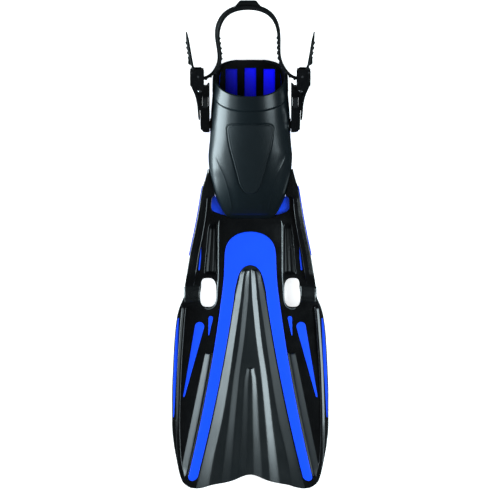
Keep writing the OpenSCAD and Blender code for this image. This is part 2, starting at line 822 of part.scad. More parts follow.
// Tab on the +z side of the tongue, with ribs on its button
module release_tab() {
  translate([2.4, 18.6, 5.6]) cube([7.6, 25.2, 3.4]);
  difference() {
    translate([2.4, 26, 8.9]) cube([7.6, 14, 5.2]);
    for (y = [28:3:38]) translate([1, y, 13.5]) cube([10, 1.2, 2]);
  }
}
module release_tab_top() { buckle_space() union() release_tab(); }
module release_tab_bottom() { buckle_space() mirror([0, 0, 1]) union() release_tab(); }

// Outlines of the receiver: [x, y]
SLEEVE = [
  [0.1, 18.2], [13.3, 18.2], [15.5, 46], [18.6, 50], [20, 58], [8, 58],
  [8, 55.8], [4.6, 55.8], [2.4, 58.6], [1, 59.4], [0.1, 58.2]
];
HEAD_FLOOR = [[8, 50], [17.5, 46], [20.4, 51], [22.4, 60], [17, 61.4], [8, 61.4]];
CHEEK = [
  [8, 53], [17.5, 46], [20.6, 50], [27.6, 58], [27.8, 78], [25.6, 80.6], [12.5, 81], [8, 76.5]
];

module buckle_receiver() {
  buckle_space() difference() {
    union() {
      // sleeve over the clip's tongue and tabs
      prism(-12.6, 12.6, SLEEVE);
      prism(-16, 16, HEAD_FLOOR);
      for (z = [-16.2, 13.3]) prism(z, z + cheek_t, CHEEK);
      // tie bar at the head's inner top corner
      translate([8.6, 75.6, -14]) cube([3.6, 4, 28]);
    }
    // cavity for tongue and tabs
    translate([1.6, 17, -9.4]) cube([9.6, 29.4, 18.8]);
    // windows for the tabs
    translate([1.9, 25.4, -20]) cube([8.6, 15.2, 40]);
    // pin holes
    rod_z(roller_at, roller_pin_r + pin_fit, 20);
    rod_z(lever_pin_at, lever_pin_r + pin_fit, 20);
    rod_z(receiver_pin_at, receiver_pin_r + pin_fit, 20);
    // shallow grip grooves beside the tabs
    for (y = [22, 43.4]) translate([-1, y, 12.1]) cube([12, 1.1, 2]);
  }
}

// Cross pin with a head at each end
module receiver_pin() {
  buckle_space() union() {
    rod_z(receiver_pin_at, receiver_pin_r, pin_half);
    translate([receiver_pin_at.x, receiver_pin_at.y, 0]) {
      translate([0, 0, 16.25]) cylinder(r1 = 2.3, r2 = 1.7, h = 0.8);
      translate([0, 0, -17.05]) cylinder(r1 = 1.7, r2 = 2.3, h = 0.8);
    }
  }
}

module strap_roller() {
  buckle_space() translate([roller_at.x, roller_at.y, -inner_half]) difference() {
    cylinder(r = roller_r, h = 2 * inner_half);
    translate([0, 0, -1]) cylinder(r = roller_pin_r + clearance, h = 30);
  }
}
module roller_pin() { buckle_space() rod_z(roller_at, roller_pin_r, pin_half); }
module lever_pin() { buckle_space() rod_z(lever_pin_at, lever_pin_r, pin_half); }

// Handle along the buckle's outer face, with a turned-out tip: [x, y]
LEVER = [
  [24.2, 76], [23.9, 72], [21.9, 71.2], [22.1, 69.8], [24.3, 69], [24.2, 62.4], [21.2, 51],
  [18.4, 45.4], [16.2, 42.6], [14.1, 18], [13.7, 12.6], [13.6, 8.6], [14.6, 7.8], [15.4, 8.6],
  [16.2, 12.6], [16.7, 18], [17.5, 29], [19.3, 39], [21.6, 46], [24.8, 53],
  [27.3, 60], [27.8, 66], [27.8, 72], [27.2, 76]
];

module pawl_lever() {
  buckle_space() difference() {
    union() {
      rod_z(lever_pin_at, 2, inner_half);
      prism(-inner_half, inner_half, LEVER);
    }
    rod_z(lever_pin_at, lever_pin_r + clearance, 20);
    // notch for the spring
    translate([20, 72.6, -3.4]) cube([12, 7, 6.8]);
    // finger grooves
    for (y = [14:4:30]) translate([16 + (y - 14) * 0.07, y, -14]) cube([3, 1.3, 28]);
  }
}

// Torsion spring on the lever pin: coil with two legs
spring_turns = 3;
turn_steps = 14;
coil_r = 1.55;
coil_half = 2.4;
wire_r = 0.4;

function coil_path() = let (steps = spring_turns * turn_steps) [
  [-0.2 - coil_r, -3.2, -coil_half],
  for (i = [0:steps]) let (angle = 180 + 360 * i / turn_steps)
    [coil_r * cos(angle), coil_r * sin(angle), -coil_half + 2 * coil_half * i / steps],
  [-coil_r - 0.1, 3.0, coil_half]
];

// Ring of the wire's skin at point i of the path
function wire_ring(path, i, radius, facets) =
  let (
    chord = path[min(i + 1, len(path) - 1)] - path[max(i - 1, 0)],
    along = chord / norm(chord),
    level = cross(along, [0, 0, 1]),
    side = level / max(norm(level), 1e-6),
    up = cross(along, side)
  ) [
    for (k = [0:facets - 1]) let (angle = 360 * k / facets)
      path[i] + radius * (cos(angle) * side + sin(angle) * up)
  ];
module wire(path, radius, facets) {
  loft([for (i = [len(path) - 1:-1:0]) wire_ring(path, i, radius, facets)]);
}

module lever_spring() {
  buckle_space() translate([lever_pin_at.x, lever_pin_at.y, 0])
    wire(coil_path(), wire_r, facets = 6);
}

// ---------- nodes ----------

color(BLACK) foot_pocket();
color(GREY) instep_panel();
color(BLACK) footbed();
color(BLUE) chassis();
color(BLACK) sole_tread();
color(BLACK) side_rail();  // side_rail_right
color(BLACK) left() side_rail();  // side_rail_left
color(BLUE) rail_strip();  // rail_strip_right
color(BLUE) left() rail_strip();  // rail_strip_left
color(BLUE) rail_inlay();  // rail_inlay_right
color(BLUE) left() rail_inlay();  // rail_inlay_left
color(BLACK) throat_plate();
color(BLUE) arch_panel();
color(GREY) flex_band();  // flex_band_right
color(GREY) left() flex_band();  // flex_band_left
color(BLACK) stud();  // stud_right
color(BLACK) left() stud();  // stud_left
color(BLACK) blade_frame();
color(BLUE) spine();  // spine_right
color(BLUE) left() spine();  // spine_left
color(GREY) center_channel();
color(GREY) outer_channel();  // outer_channel_right
color(GREY) left() outer_channel();  // outer_channel_left
color(BLACK) blade_rail();  // blade_rail_right
color(BLACK) left() blade_rail();  // blade_rail_left
color(BLUE) short_inlay();  // short_inlay_right
color(BLUE) left() short_inlay();  // short_inlay_left
color(BLUE) long_inlay();  // long_inlay_right
color(BLUE) left() long_inlay();  // long_inlay_left
color(BLUE) edge_strip();  // edge_strip_right
color(BLUE) left() edge_strip();  // edge_strip_left
color(BLACK) heel_strap();
color(BLACK) buckle_clip();  // buckle_clip_right
color(BLACK) left() buckle_clip();  // buckle_clip_left
color(BLACK) buckle_receiver();  // buckle_receiver_right
color(BLACK) left() buckle_receiver();  // buckle_receiver_left
color(GREY) strap_roller();  // strap_roller_right
color(GREY) left() strap_roller();  // strap_roller_left
color(STEEL) roller_pin();  // roller_pin_right
color(STEEL) left() roller_pin();  // roller_pin_left
color(STEEL) receiver_pin();  // receiver_pin_right
color(STEEL) left() receiver_pin();  // receiver_pin_left
color(BLACK) pawl_lever();  // pawl_lever_right
color(BLACK) left() pawl_lever();  // pawl_lever_left
color(STEEL) lever_pin();  // lever_pin_right
color(STEEL) left() lever_pin();  // lever_pin_left
color(STEEL) lever_spring();  // lever_spring_right
color(STEEL) left() lever_spring();  // lever_spring_left
color(GREY) release_tab_top();  // release_tab_top_right
color(GREY) left() release_tab_top();  // release_tab_top_left
color(GREY) release_tab_bottom();  // release_tab_bottom_right
color(GREY) left() release_tab_bottom();  // release_tab_bottom_left
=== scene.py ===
"""A swim fin with an open heel, a strap and a pleated blade, lying flat on the floor.

Row frame: x runs across the fin (right is +x), y towards the heel, z up. The foot pocket lies at
the +y end and the blade's tail at the -y end. Lengths are in mm unless a name or comment says
metres; TO_M turns them into metres. Two tilted planes carry most outlines:
  blade plane: origin at the blade pivot, y towards the heel. "reach" is -y, towards the tail.
  strap plane: origin at the strap studs, y towards the heel, z across the strap band.
"""

import json
import math

import bmesh
import bpy
import numpy as np
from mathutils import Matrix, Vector

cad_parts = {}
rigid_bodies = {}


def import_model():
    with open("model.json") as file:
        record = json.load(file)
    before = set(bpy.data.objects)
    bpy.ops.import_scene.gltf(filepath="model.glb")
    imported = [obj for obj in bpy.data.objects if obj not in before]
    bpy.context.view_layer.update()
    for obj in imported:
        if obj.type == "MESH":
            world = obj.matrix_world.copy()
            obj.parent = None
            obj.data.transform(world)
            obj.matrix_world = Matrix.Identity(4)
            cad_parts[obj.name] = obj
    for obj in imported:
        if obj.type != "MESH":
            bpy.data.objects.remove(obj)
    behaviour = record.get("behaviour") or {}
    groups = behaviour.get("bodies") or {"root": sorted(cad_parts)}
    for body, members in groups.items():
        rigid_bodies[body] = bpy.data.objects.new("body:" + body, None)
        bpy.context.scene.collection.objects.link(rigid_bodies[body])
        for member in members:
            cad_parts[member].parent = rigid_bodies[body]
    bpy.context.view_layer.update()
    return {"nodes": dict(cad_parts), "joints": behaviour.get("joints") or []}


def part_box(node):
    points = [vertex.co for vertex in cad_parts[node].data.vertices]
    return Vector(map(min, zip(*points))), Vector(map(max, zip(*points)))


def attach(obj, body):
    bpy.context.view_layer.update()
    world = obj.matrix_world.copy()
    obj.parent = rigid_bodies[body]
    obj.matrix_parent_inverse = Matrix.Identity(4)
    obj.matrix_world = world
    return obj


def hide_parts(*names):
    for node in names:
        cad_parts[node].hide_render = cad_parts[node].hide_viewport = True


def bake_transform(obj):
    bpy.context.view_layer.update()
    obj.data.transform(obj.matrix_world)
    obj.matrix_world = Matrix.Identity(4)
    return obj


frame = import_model()
NODES = frame["nodes"]
JOINTS = {joint["name"]: joint for joint in frame["joints"]}

# Driving places and sizes
TO_M = 0.001
PIVOT = np.array(JOINTS["blade_pivot"]["pos_m"]) * 1000.0
STUD = np.array(JOINTS["strap_swing"]["pos_m"]) * 1000.0
BLADE_SLOPE = math.radians(4.0)
STRAP_PITCH = math.radians(8.0)
POCKET_LOW, POCKET_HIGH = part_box("foot_pocket")
BED_Z = POCKET_LOW.z * 1000.0
RIM_Z = POCKET_HIGH.z * 1000.0
POCKET_HALF_WIDTH = POCKET_HIGH.x * 1000.0
TOE_Y = POCKET_LOW.y * 1000.0
HEEL_Y = POCKET_HIGH.y * 1000.0
SIDES = (("right", 1), ("left", -1))


def tilted(points, angle, x0, y0, z0):
    """Points of a plane tilted about x, with its origin at (x0, y0, z0), in the row frame."""
    points = np.asarray(points, float)
    out = np.empty_like(points)
    out[..., 0] = points[..., 0] + x0
    out[..., 1] = y0 + points[..., 1] * math.cos(angle) - points[..., 2] * math.sin(angle)
    out[..., 2] = z0 + points[..., 1] * math.sin(angle) + points[..., 2] * math.cos(angle)
    return out


def from_blade(points):
    return tilted(points, BLADE_SLOPE, *PIVOT)


def from_strap(points):
    return tilted(points, STRAP_PITCH, 0.0, STUD[1], STUD[2])


# Numeric helpers
def pchip(stations):
    """Monotone cubic through (place, value) stations, held level beyond both ends."""
    places, values = np.array(stations, float).T
    gaps = np.diff(places)
    slopes = np.diff(values) / gaps
    tangents = np.zeros(len(places))
    for i in range(1, len(places) - 1):
        before, after = slopes[i - 1], slopes[i]
        if before * after > 0:
            weight_before = 2 * gaps[i] + gaps[i - 1]
            weight_after = gaps[i] + 2 * gaps[i - 1]
            tangents[i] = (weight_before + weight_after) / (
                weight_before / before + weight_after / after)
    tangents[0], tangents[-1] = slopes[0], slopes[-1]

    def curve(place):
        place = np.clip(np.asarray(place, float), places[0], places[-1])
        i = np.clip(np.searchsorted(places, place, side="right") - 1, 0, len(gaps) - 1)
        part = (place - places[i]) / gaps[i]
        return (
            (2 * part**3 - 3 * part**2 + 1) * values[i]
            + (part**3 - 2 * part**2 + part) * gaps[i] * tangents[i]
            + (-2 * part**3 + 3 * part**2) * values[i + 1]
            + (part**3 - part**2) * gaps[i] * tangents[i + 1]
        )

    return curve


def catmull_rom(controls, steps):
    """Smooth line through the controls, with this many steps from one to the next."""
    controls = np.array(controls, float)
    final = len(controls) - 1
    out = []
    for i in range(final):
        before, start, end, after = (controls[min(max(k, 0), final)] for k in range(i - 1, i + 3))
        for k in range(steps):
            part = k / steps
            out.append(0.5 * (2 * start + (end - before) * part
                              + (2 * before - 5 * start + 4 * end - after) * part * part
                              + (3 * start - before - 3 * end + after) * part**3))
    out.append(controls[-1])
    return np.array(out)


def arc_lengths(line):
    return np.concatenate([[0], np.cumsum(np.linalg.norm(np.diff(line, axis=0), axis=1))])


def resample(line, count):
    lengths = arc_lengths(line)
    even = np.linspace(0, lengths[-1], count)
    return np.stack([np.interp(even, lengths, line[:, k]) for k in range(line.shape[1])], 1)


def smoothstep(value, start, end):
    part = np.clip((np.asarray(value, float) - start) / (end - start), 0, 1)
    return part * part * (3 - 2 * part)


def bell(distance, width):
    return np.exp(-((distance / width) ** 2))


def chain(start, *runs):
    """Evenly spaced runs, end to end; each run is (end, count with both ends)."""
    out = [[start]]
    for end, count in runs:
        out.append(np.linspace(start, end, count)[1:])
        start = end
    return np.concatenate(out)


def distance_to_line(points, line):
    """Distance of each plan point (n, 2) to a polyline."""
    best = np.full(len(points), 1e9)
    for start, end in zip(line[:-1], line[1:]):
        step = end - start
        part = np.clip(((points - start) @ step) / max(step @ step, 1e-9), 0, 1)
        gap = np.linalg.norm(points - (start + part[:, None] * step), axis=1)
        best = np.minimum(best, gap)
    return best


def surface_normals(grid, row, col):
    """Unit normals of a grid, turned so that the one at (row, col) points up."""
    normal = np.cross(np.gradient(grid, axis=0), np.gradient(grid, axis=1))
    normal /= np.maximum(np.linalg.norm(normal, axis=-1, keepdims=True), 1e-9)
    return -normal if normal[row, col, 2] < 0 else normal


# Solids: each is a pair (vertices, faces)
def grid_faces(rows, cols, closed=False, offset=0, flip=False):
    faces = []
    for i in range(rows - 1):
        for j in range(cols if closed else cols - 1):
            after = (j + 1) % cols
            this_row, next_row = offset + i * cols, offset + (i + 1) * cols
            face = (this_row + j, this_row + after, next_row + after, next_row + j)
            faces.append((face[0], face[3], face[2], face[1]) if flip else face)
    return faces


def ring_solid(rings):
    """rings (n, m, 3): closed rings in a row; each end is capped by a fan round its middle."""
    rings = np.asarray(rings, float)
    rows, cols, _ = rings.shape
    verts = np.vstack([rings.reshape(-1, 3), rings[0].mean(0), rings[-1].mean(0)])
    start, end = rows * cols, rows * cols + 1
    last = (rows - 1) * cols
    faces = grid_faces(rows, cols, closed=True)
    faces += [(start, (j + 1) % cols, j) for j in range(cols)]
    faces += [(end, last + j, last + (j + 1) % cols) for j in range(cols)]
    return verts, faces


def sheet_solid(top, low):
    """Two grids (n, m, 3) of the same size, joined round their border."""
    rows, cols, _ = top.shape
    size = rows * cols
    last = size - cols
    verts = np.vstack([top.reshape(-1, 3), low.reshape(-1, 3)])
    faces = grid_faces(rows, cols) + grid_faces(rows, cols, offset=size, flip=True)
    faces += [(j, size + j, size + j + 1, j + 1) for j in range(cols - 1)]
    faces += [(last + j + 1, size + last + j + 1, size + last + j, last + j)
              for j in range(cols - 1)]
    for i in range(rows - 1):
        here, after = i * cols, (i + 1) * cols
        faces.append((after, size + after, size + here, here))
    for i in range(rows - 1):
        here, after = i * cols + cols - 1, (i + 1) * cols + cols - 1
        faces.append((here, size + here, size + after, after))
    return verts, faces


def blade_sheet(top, thickness, sign=1):
    """Sheet below a grid of the blade plane; sign -1 mirrors it to the left."""
    low = top.copy()
    low[..., 2] -= thickness
    if sign < 0:
        top, low = ((grid * [-1, 1, 1])[:, ::-1] for grid in (top, low))
    return sheet_solid(from_blade(top), from_blade(low))


def side_loop(loop, sign):
    """A right-hand plan loop for the given side, kept in the same turning direction."""
    loop = np.asarray(loop, float) * [sign, 1]
    return loop if sign > 0 else loop[::-1]


def both_sides(line):
    line = np.asarray(line, float)
    return np.vstack([line, (line * [-1, 1])[::-1]])


# Objects
def smooth_by_angle(mesh, degrees):
    mesh.polygons.foreach_set("use_smooth", [True] * len(mesh.polygons))
    mesh.set_sharp_from_angle(angle=math.radians(degrees))


def finish_object(name, mesh, bm, mat, sharp_angle):
    """Clean the bmesh, write it to the mesh and link an object that carries it."""
    bmesh.ops.remove_doubles(bm, verts=bm.verts, dist=2e-6)
    bmesh.ops.dissolve_degenerate(bm, dist=1e-6, edges=bm.edges)
    bmesh.ops.recalc_face_normals(bm, faces=bm.faces)
    bm.to_mesh(mesh)
    bm.free()
    smooth_by_angle(mesh, sharp_angle)
    mesh.materials.append(mat)
    ob = bpy.data.objects.new(name, mesh)
    bpy.context.scene.collection.objects.link(ob)
    return ob


def make_object(name, solid, mat, sharp_angle):
    verts, faces = solid
    mesh = bpy.data.meshes.new(name)
    mesh.from_pydata([tuple(co) for co in np.asarray(verts, float) * TO_M], [], faces)
    mesh.validate()
    bm = bmesh.new()
    bm.from_mesh(mesh)
    return finish_object(name, mesh, bm, mat, sharp_angle)


def make_plate(name, loops, bottom, top, bevel, mat, cuts=(), to_row=from_blade, segments=3):
    """Plate with rounded edges from plan loops: the outline, then its holes.

    cuts are y places where extra edges cross the plate.
    """
    curve = bpy.data.curves.new(name + "_c", "CURVE")
    curve.dimensions = "2D"
    curve.fill_mode = "BOTH"
    curve.extrude = max((top - bottom) / 2 - bevel, 0.01)
    curve.bevel_depth = bevel
    curve.bevel_resolution = segments
    curve.offset = -bevel
    for loop in loops:
        spline = curve.splines.new("POLY")
        spline.points.add(len(loop) - 1)
        for i, (x, y) in enumerate(loop):
            spline.points[i].co = (x, y, 0, 1)
        spline.use_cyclic_u = True
    ob = bpy.data.objects.new(name + "_c", curve)
    bpy.context.scene.collection.objects.link(ob)
    bpy.context.view_layer.update()
    depsgraph = bpy.context.evaluated_depsgraph_get()
    flat = bpy.data.meshes.new_from_object(ob.evaluated_get(depsgraph))
    bpy.data.objects.remove(ob)
    bm = bmesh.new()
    bm.from_mesh(flat)
    bpy.data.meshes.remove(flat)
    bmesh.ops.remove_doubles(bm, verts=bm.verts, dist=1e-3)
    for y in cuts:
        bmesh.ops.bisect_plane(bm, geom=bm.verts[:] + bm.edges[:] + bm.faces[:],
                               plane_co=(0, y, 0), plane_no=(0, 1, 0), dist=1e-4)
    places = np.array([vert.co for vert in bm.verts], float)
    places[:, 2] += (bottom + top) / 2
    for vert, place in zip(bm.verts, to_row(places)):
        vert.co = Vector(place * TO_M)
    return finish_object(name, bpy.data.meshes.new(name), bm, mat, sharp_angle=38)


def register(ob, body, slot, *replaced):
    """Give an object its moving body and the CAD nodes it replaces.

    Objects for the body "pivot" join no body; only their transform is baked.
    """
    if body == "pivot":
        half_bend = 16
        tuple(from_blade([0, half_bend, 0]) * TO_M)
        tuple(from_blade([0, -half_bend, 0]) * TO_M)
        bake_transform(ob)
    else:
        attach(ob, body)
    if replaced:
        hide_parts(*replaced)


# Shader node helpers: each returns an output socket
def noise(tree, vector, scale, detail, roughness=0.55):
    node = tree.nodes.new("ShaderNodeTexNoise")
    node.inputs["Scale"].default_value = scale
    node.inputs["Detail"].default_value = detail
    node.inputs["Roughness"].default_value = roughness
    if vector:
        tree.links.new(vector, node.inputs["Vector"])
    return node.outputs["Fac"]


def stretched_noise(tree, vector, stretch, detail, roughness):
    node = tree.nodes.new("ShaderNodeMapping")
    node.inputs["Scale"].default_value = stretch
    tree.links.new(vector, node.inputs["Vector"])
    return noise(tree, node.outputs[0], scale=1.0, detail=detail, roughness=roughness)


def remap(tree, source, from_range, to_range):
    node = tree.nodes.new("ShaderNodeMapRange")
    for i, value in enumerate((*from_range, *to_range), start=1):
        node.inputs[i].default_value = value
    tree.links.new(source, node.inputs[0])
    return node.outputs[0]


def multiply(tree, first, second):
    node = tree.nodes.new("ShaderNodeMath")
    node.operation = "MULTIPLY"
    tree.links.new(first, node.inputs[0])
    tree.links.new(second, node.inputs[1])
    return node.outputs[0]


def bump(tree, height, strength, distance, normal=None):
    """distance is in metres."""
    node = tree.nodes.new("ShaderNodeBump")
    node.inputs["Strength"].default_value = strength
    node.inputs["Distance"].default_value = distance
    tree.links.new(height, node.inputs["Height"])
    if normal:
        tree.links.new(normal, node.inputs["Normal"])
    return node.outputs[0]


def colour_mix(tree, factor):
    node = tree.nodes.new("ShaderNodeMix")
    node.data_type = "RGBA"
    tree.links.new(factor, node.inputs["Factor"])
    return node


def material(name, colour, *, roughness, mottle, grain, grain_bump, wave_bump=0.0, wave_scale=0.0,
             edge=0.0, edge_colour=None, coat=0.0, coat_roughness=0.1, metallic=0.0,
             smudge=0.12, specular=0.5, brush=None, scuff=0.0):
    """Moulded surface: mottled colour, worn edges, smudged roughness and layers of bump.

    mottle is the colour's spread, smudge the roughness's spread, grain a noise scale per metre;
    edge is the strength of wear on sharp edges, scuff that of long marks along y.
    """
    mat = bpy.data.materials.new(name)
    mat.use_nodes = True
    tree = mat.node_tree
    tree.nodes.clear()
    link = tree.links.new
    output = tree.nodes.new("ShaderNodeOutputMaterial")
    shader = tree.nodes.new("ShaderNodeBsdfPrincipled")
    link(shader.outputs[0], output.inputs[0])
    place = tree.nodes.new("ShaderNodeTexCoord").outputs["Object"]

    broad = noise(tree, place, scale=14.0, detail=5.0)
    fine = noise(tree, place, scale=grain, detail=3.0)
    base = np.array(colour)
    mix = colour_mix(tree, remap(tree, broad, from_range=(0.3, 0.7), to_range=(0, 1)))
    mix.inputs["A"].default_value = (*(base * (1 - mottle)), 1)
    mix.inputs["B"].default_value = (*np.minimum(base * (1 + mottle) + 0.002 * mottle, 1), 1)
    if edge:
        mottled = mix.outputs["Result"]
        geometry = tree.nodes.new("ShaderNodeNewGeometry")
        sharp = remap(tree, geometry.outputs["Pointiness"],
                      from_range=(0.515, 0.58), to_range=(0, edge))
        patches = noise(tree, place, scale=160.0, detail=4.0)
        patches = remap(tree, patches, from_range=(0.35, 0.65), to_range=(0.3, 1))
        mix = colour_mix(tree, multiply(tree, sharp, patches))
        link(mottled, mix.inputs["A"])
        mix.inputs["B"].default_value = (*edge_colour, 1)
    link(mix.outputs["Result"], shader.inputs["Base Color"])

    smudges = noise(tree, place, scale=38.0, detail=6.0, roughness=0.65)
    spread = smudge * 0.6
    link(remap(tree, smudges, from_range=(0.3, 0.7),
               to_range=(roughness - spread, roughness + spread)), shader.inputs["Roughness"])

    normal = bump(tree, fine, strength=grain_bump, distance=0.0006)
    if wave_bump:
        waves = noise(tree, place, scale=wave_scale, detail=2.0)
        normal = bump(tree, waves, strength=wave_bump, distance=0.004, normal=normal)
    if scuff:
        marks = stretched_noise(tree, place, stretch=(260.0, 22.0, 260.0), detail=6.0,
                                roughness=0.7)
        normal = bump(tree, marks, strength=scuff, distance=0.0004, normal=normal)
    if brush:
        marks = stretched_noise(tree, place, stretch=brush, detail=4.0, roughness=0.6)
        normal = bump(tree, marks, strength=0.15, distance=0.0003, normal=normal)
    link(normal, shader.inputs["Normal"])
    shader.inputs["Metallic"].default_value = metallic
    shader.inputs["Coat Weight"].default_value = coat
    shader.inputs["Coat Roughness"].default_value = coat_roughness
    shader.inputs["Specular IOR Level"].default_value = specular
    return mat


# Materials
POCKET = material(
    "pocket_rubber", (0.0058, 0.0100, 0.0125), roughness=0.31, mottle=0.08, grain=1500,
    grain_bump=0.07, wave_bump=0.03, wave_scale=9, edge=0.05, edge_colour=(0.02, 0.03, 0.035),
    scuff=0.015, specular=0.36, smudge=0.05)
PANEL = material(
    "panel_rubber", (0.0062, 0.0106, 0.0132), roughness=0.48, mottle=0.10, grain=1900,
    grain_bump=0.22, edge=0.08, edge_colour=(0.03, 0.04, 0.045), smudge=0.08, specular=0.26)
LINING = material(
    "lining_rubber", (0.0025, 0.0025, 0.003), roughness=0.75, mottle=0.2, grain=1600,
    grain_bump=0.25, specular=0.12)
FRAME = material(
    "frame_rubber", (0.0022, 0.0024, 0.0027), roughness=0.19, mottle=0.2, grain=1300,
    grain_bump=0.04, wave_bump=0.03, wave_scale=14, edge=0.12, edge_colour=(0.03, 0.034, 0.036),
    scuff=0.03)
# a shaded copy of the frame rubber with weaker reflections: painted shade in the troughs' hollows
TROUGH_SHADED_RUBBER = material(
    "trough_rubber", (0.0022, 0.0025, 0.0028), roughness=0.3, mottle=0.2, grain=1300,
    grain_bump=0.02, edge=0.05, edge_colour=(0.03, 0.034, 0.036), scuff=0.02, specular=0.13)
# frame rubber painted much lighter: a painted highlight along the thin bead
BEAD_PAINTED_HIGHLIGHT = material(
    "bead_rubber", (0.06, 0.07, 0.072), roughness=0.22, mottle=0.12, grain=1300,
    grain_bump=0.03, edge=0.2, edge_colour=(0.16, 0.18, 0.18), coat=0.6, coat_roughness=0.15)
BAND = material(
    "band_rubber", (0.0026, 0.0032, 0.0036), roughness=0.30, mottle=0.15, grain=1700,
    grain_bump=0.18, edge=0.1, edge_colour=(0.03, 0.034, 0.036), specular=0.6)
CHANNEL = material(
    "channel_rubber", (0.0030, 0.0048, 0.0056), roughness=0.33, mottle=0.12, grain=1500,
    grain_bump=0.02, wave_bump=0.03, wave_scale=11, edge=0.04, edge_colour=(0.03, 0.035, 0.036),
    coat=0.15, coat_roughness=0.25, scuff=0.04, smudge=0.06, specular=0.7)
BLUE = material(
    "blue_plastic", (0.0, 0.056, 0.85), roughness=0.46, mottle=0.05, grain=1400,
    grain_bump=0.06, edge=0.06, edge_colour=(0.02, 0.11, 0.95), smudge=0.08, scuff=0.03,
    specular=0.18)
# the windows' blue; further down it gets painted shade and a painted glow
DEEP_BLUE_PAINTED_LIGHT = material(
    "deep_blue_plastic", (0.0, 0.0, 0.98), roughness=0.5, mottle=0.10, grain=1300,
    grain_bump=0.08, edge=0.05, edge_colour=(0.02, 0.05, 0.9), specular=0.2)
STRAP = material(
    "strap_rubber", (0.0013, 0.0017, 0.0020), roughness=0.50, mottle=0.15, grain=1700,
    grain_bump=0.22, edge=0.10, edge_colour=(0.02, 0.023, 0.025), scuff=0.05, specular=0.14)
BUCKLE = material(
    "buckle_plastic", (0.0022, 0.0024, 0.0028), roughness=0.15, mottle=0.2, grain=1500,
    grain_bump=0.015, edge=0.05, edge_colour=(0.03, 0.034, 0.038), smudge=0.05, coat=0.4,
    coat_roughness=0.05)
LEVER = material(
    "lever_plastic", (0.0035, 0.004, 0.0045), roughness=0.14, mottle=0.2, grain=1500,
    grain_bump=0.015, edge=0.06, edge_colour=(0.04, 0.045, 0.05), coat=0.5, coat_roughness=0.05)
TAB = material(
    "tab_plastic", (0.0028, 0.003, 0.0034), roughness=0.2, mottle=0.15, grain=1700,
    grain_bump=0.15, edge=0.2, edge_colour=(0.05, 0.055, 0.06))
ROLLER = material(
    "roller_plastic", (0.004, 0.004, 0.0045), roughness=0.35, mottle=0.15, grain=1500,
    grain_bump=0.1, edge=0.2, edge_colour=(0.05, 0.055, 0.06))
STEEL = material(
    "steel_pin", (0.62, 0.63, 0.65), roughness=0.22, mottle=0.06, grain=900, grain_bump=0.03,
    metallic=1.0, edge=0.1, edge_colour=(0.8, 0.8, 0.8), brush=(40, 40, 1800))
TREAD = material(
    "tread_rubber", (0.006, 0.006, 0.0065), roughness=0.62, mottle=0.2, grain=1200,
    grain_bump=0.35, edge=0.2, edge_colour=(0.04, 0.04, 0.045))
BED = material(
    "footbed_rubber", (0.0015, 0.0015, 0.0018), roughness=0.7, mottle=0.2, grain=1300,
    grain_bump=0.4, edge=0.05, edge_colour=(0.02, 0.02, 0.02), specular=0.15)


def paint_shade_and_glow(mat):
    """Paint shade on a material, darker towards the left and the toe, and give it a painted glow
    from its own emission.
    """
    tree = mat.node_tree
    shader = next(node for node in tree.nodes if node.type == "BSDF_PRINCIPLED")
    plain = shader.inputs["Base Color"].links[0].from_socket
    place = tree.nodes.new("ShaderNodeTexCoord")
    split = tree.nodes.new("ShaderNodeSeparateXYZ")
    tree.links.new(place.outputs["Object"], split.inputs[0])
    # from_range in metres
    across = remap(tree, split.outputs[0], from_range=(-0.034, 0.030), to_range=(0.16, 1.0))
    along = remap(tree, split.outputs[1], from_range=(0.046, 0.084), to_range=(0.30, 1.0))
    # painted shade: the colour is scaled down towards the left and the toe
    share = multiply(tree, across, along)
    scale = tree.nodes.new("ShaderNodeVectorMath")
    scale.operation = "SCALE"
    tree.links.new(plain, scale.inputs[0])
    tree.links.new(share, scale.inputs["Scale"])
    # the emission is a painted glow: the windows are no lamp
    for socket in ("Base Color", "Emission Color"):
        tree.links.new(scale.outputs[0], shader.inputs[socket])
    shader.inputs["Emission Strength"].default_value = 0.75


# the deep blue windows carry painted shade and a painted glow
paint_shade_and_glow(DEEP_BLUE_PAINTED_LIGHT)

# Foot pocket: a vault whose cross sections lean from the base towards the open rim
SPRING_Z = 36.0       # the arc of a section starts here, its flanks run down from here
RIM_Y = 44.4          # the opening's rim on the centre line
ARC_POWER = 0.87      # superellipse power of a section
HEEL_ROUND_Y = 60     # the plan rounds off from here ...
HEEL_ROUND_LENGTH = 40.6
HEEL_ROUND_POWER = 3.5
HEEL_SHARE = 0.89     # ... from this share of the half width
LINING_INSET = 3.6
# y, share of the pocket's half width
WIDTH_SHARE = pchip([
    [-127, 0.46], [-124, 0.55], [-116, 0.66], [-104, 0.765], [-92, 0.845], [-80, 0.90],
    [-70, 0.935], [-54, 0.985], [-37, 1], [-26, 0.985], [-9, 0.96], [7, 0.95], [26, 0.937],
    [43, 0.913], [HEEL_ROUND_Y, HEEL_SHARE]])
# y, share of the rim's height
HEIGHT_SHARE = pchip([
    [-127, 0.40], [-124, 0.44], [-116, 0.525], [-104, 0.61], [-85, 0.70], [-60, 0.785],
    [-20, 0.885], [20, 0.965], [46, 1]])


def half_width(y):
    y = np.asarray(y, float)
    rounding = (np.maximum(y - HEEL_ROUND_Y, 0) / HEEL_ROUND_LENGTH) ** HEEL_ROUND_POWER
    heel = HEEL_SHARE * np.maximum(0.02, 1 - rounding) ** (1 / HEEL_ROUND_POWER)
    return POCKET_HALF_WIDTH * np.where(y <= HEEL_ROUND_Y, WIDTH_SHARE(y), heel)


def top_height(y):
    return RIM_Z * HEIGHT_SHARE(y)


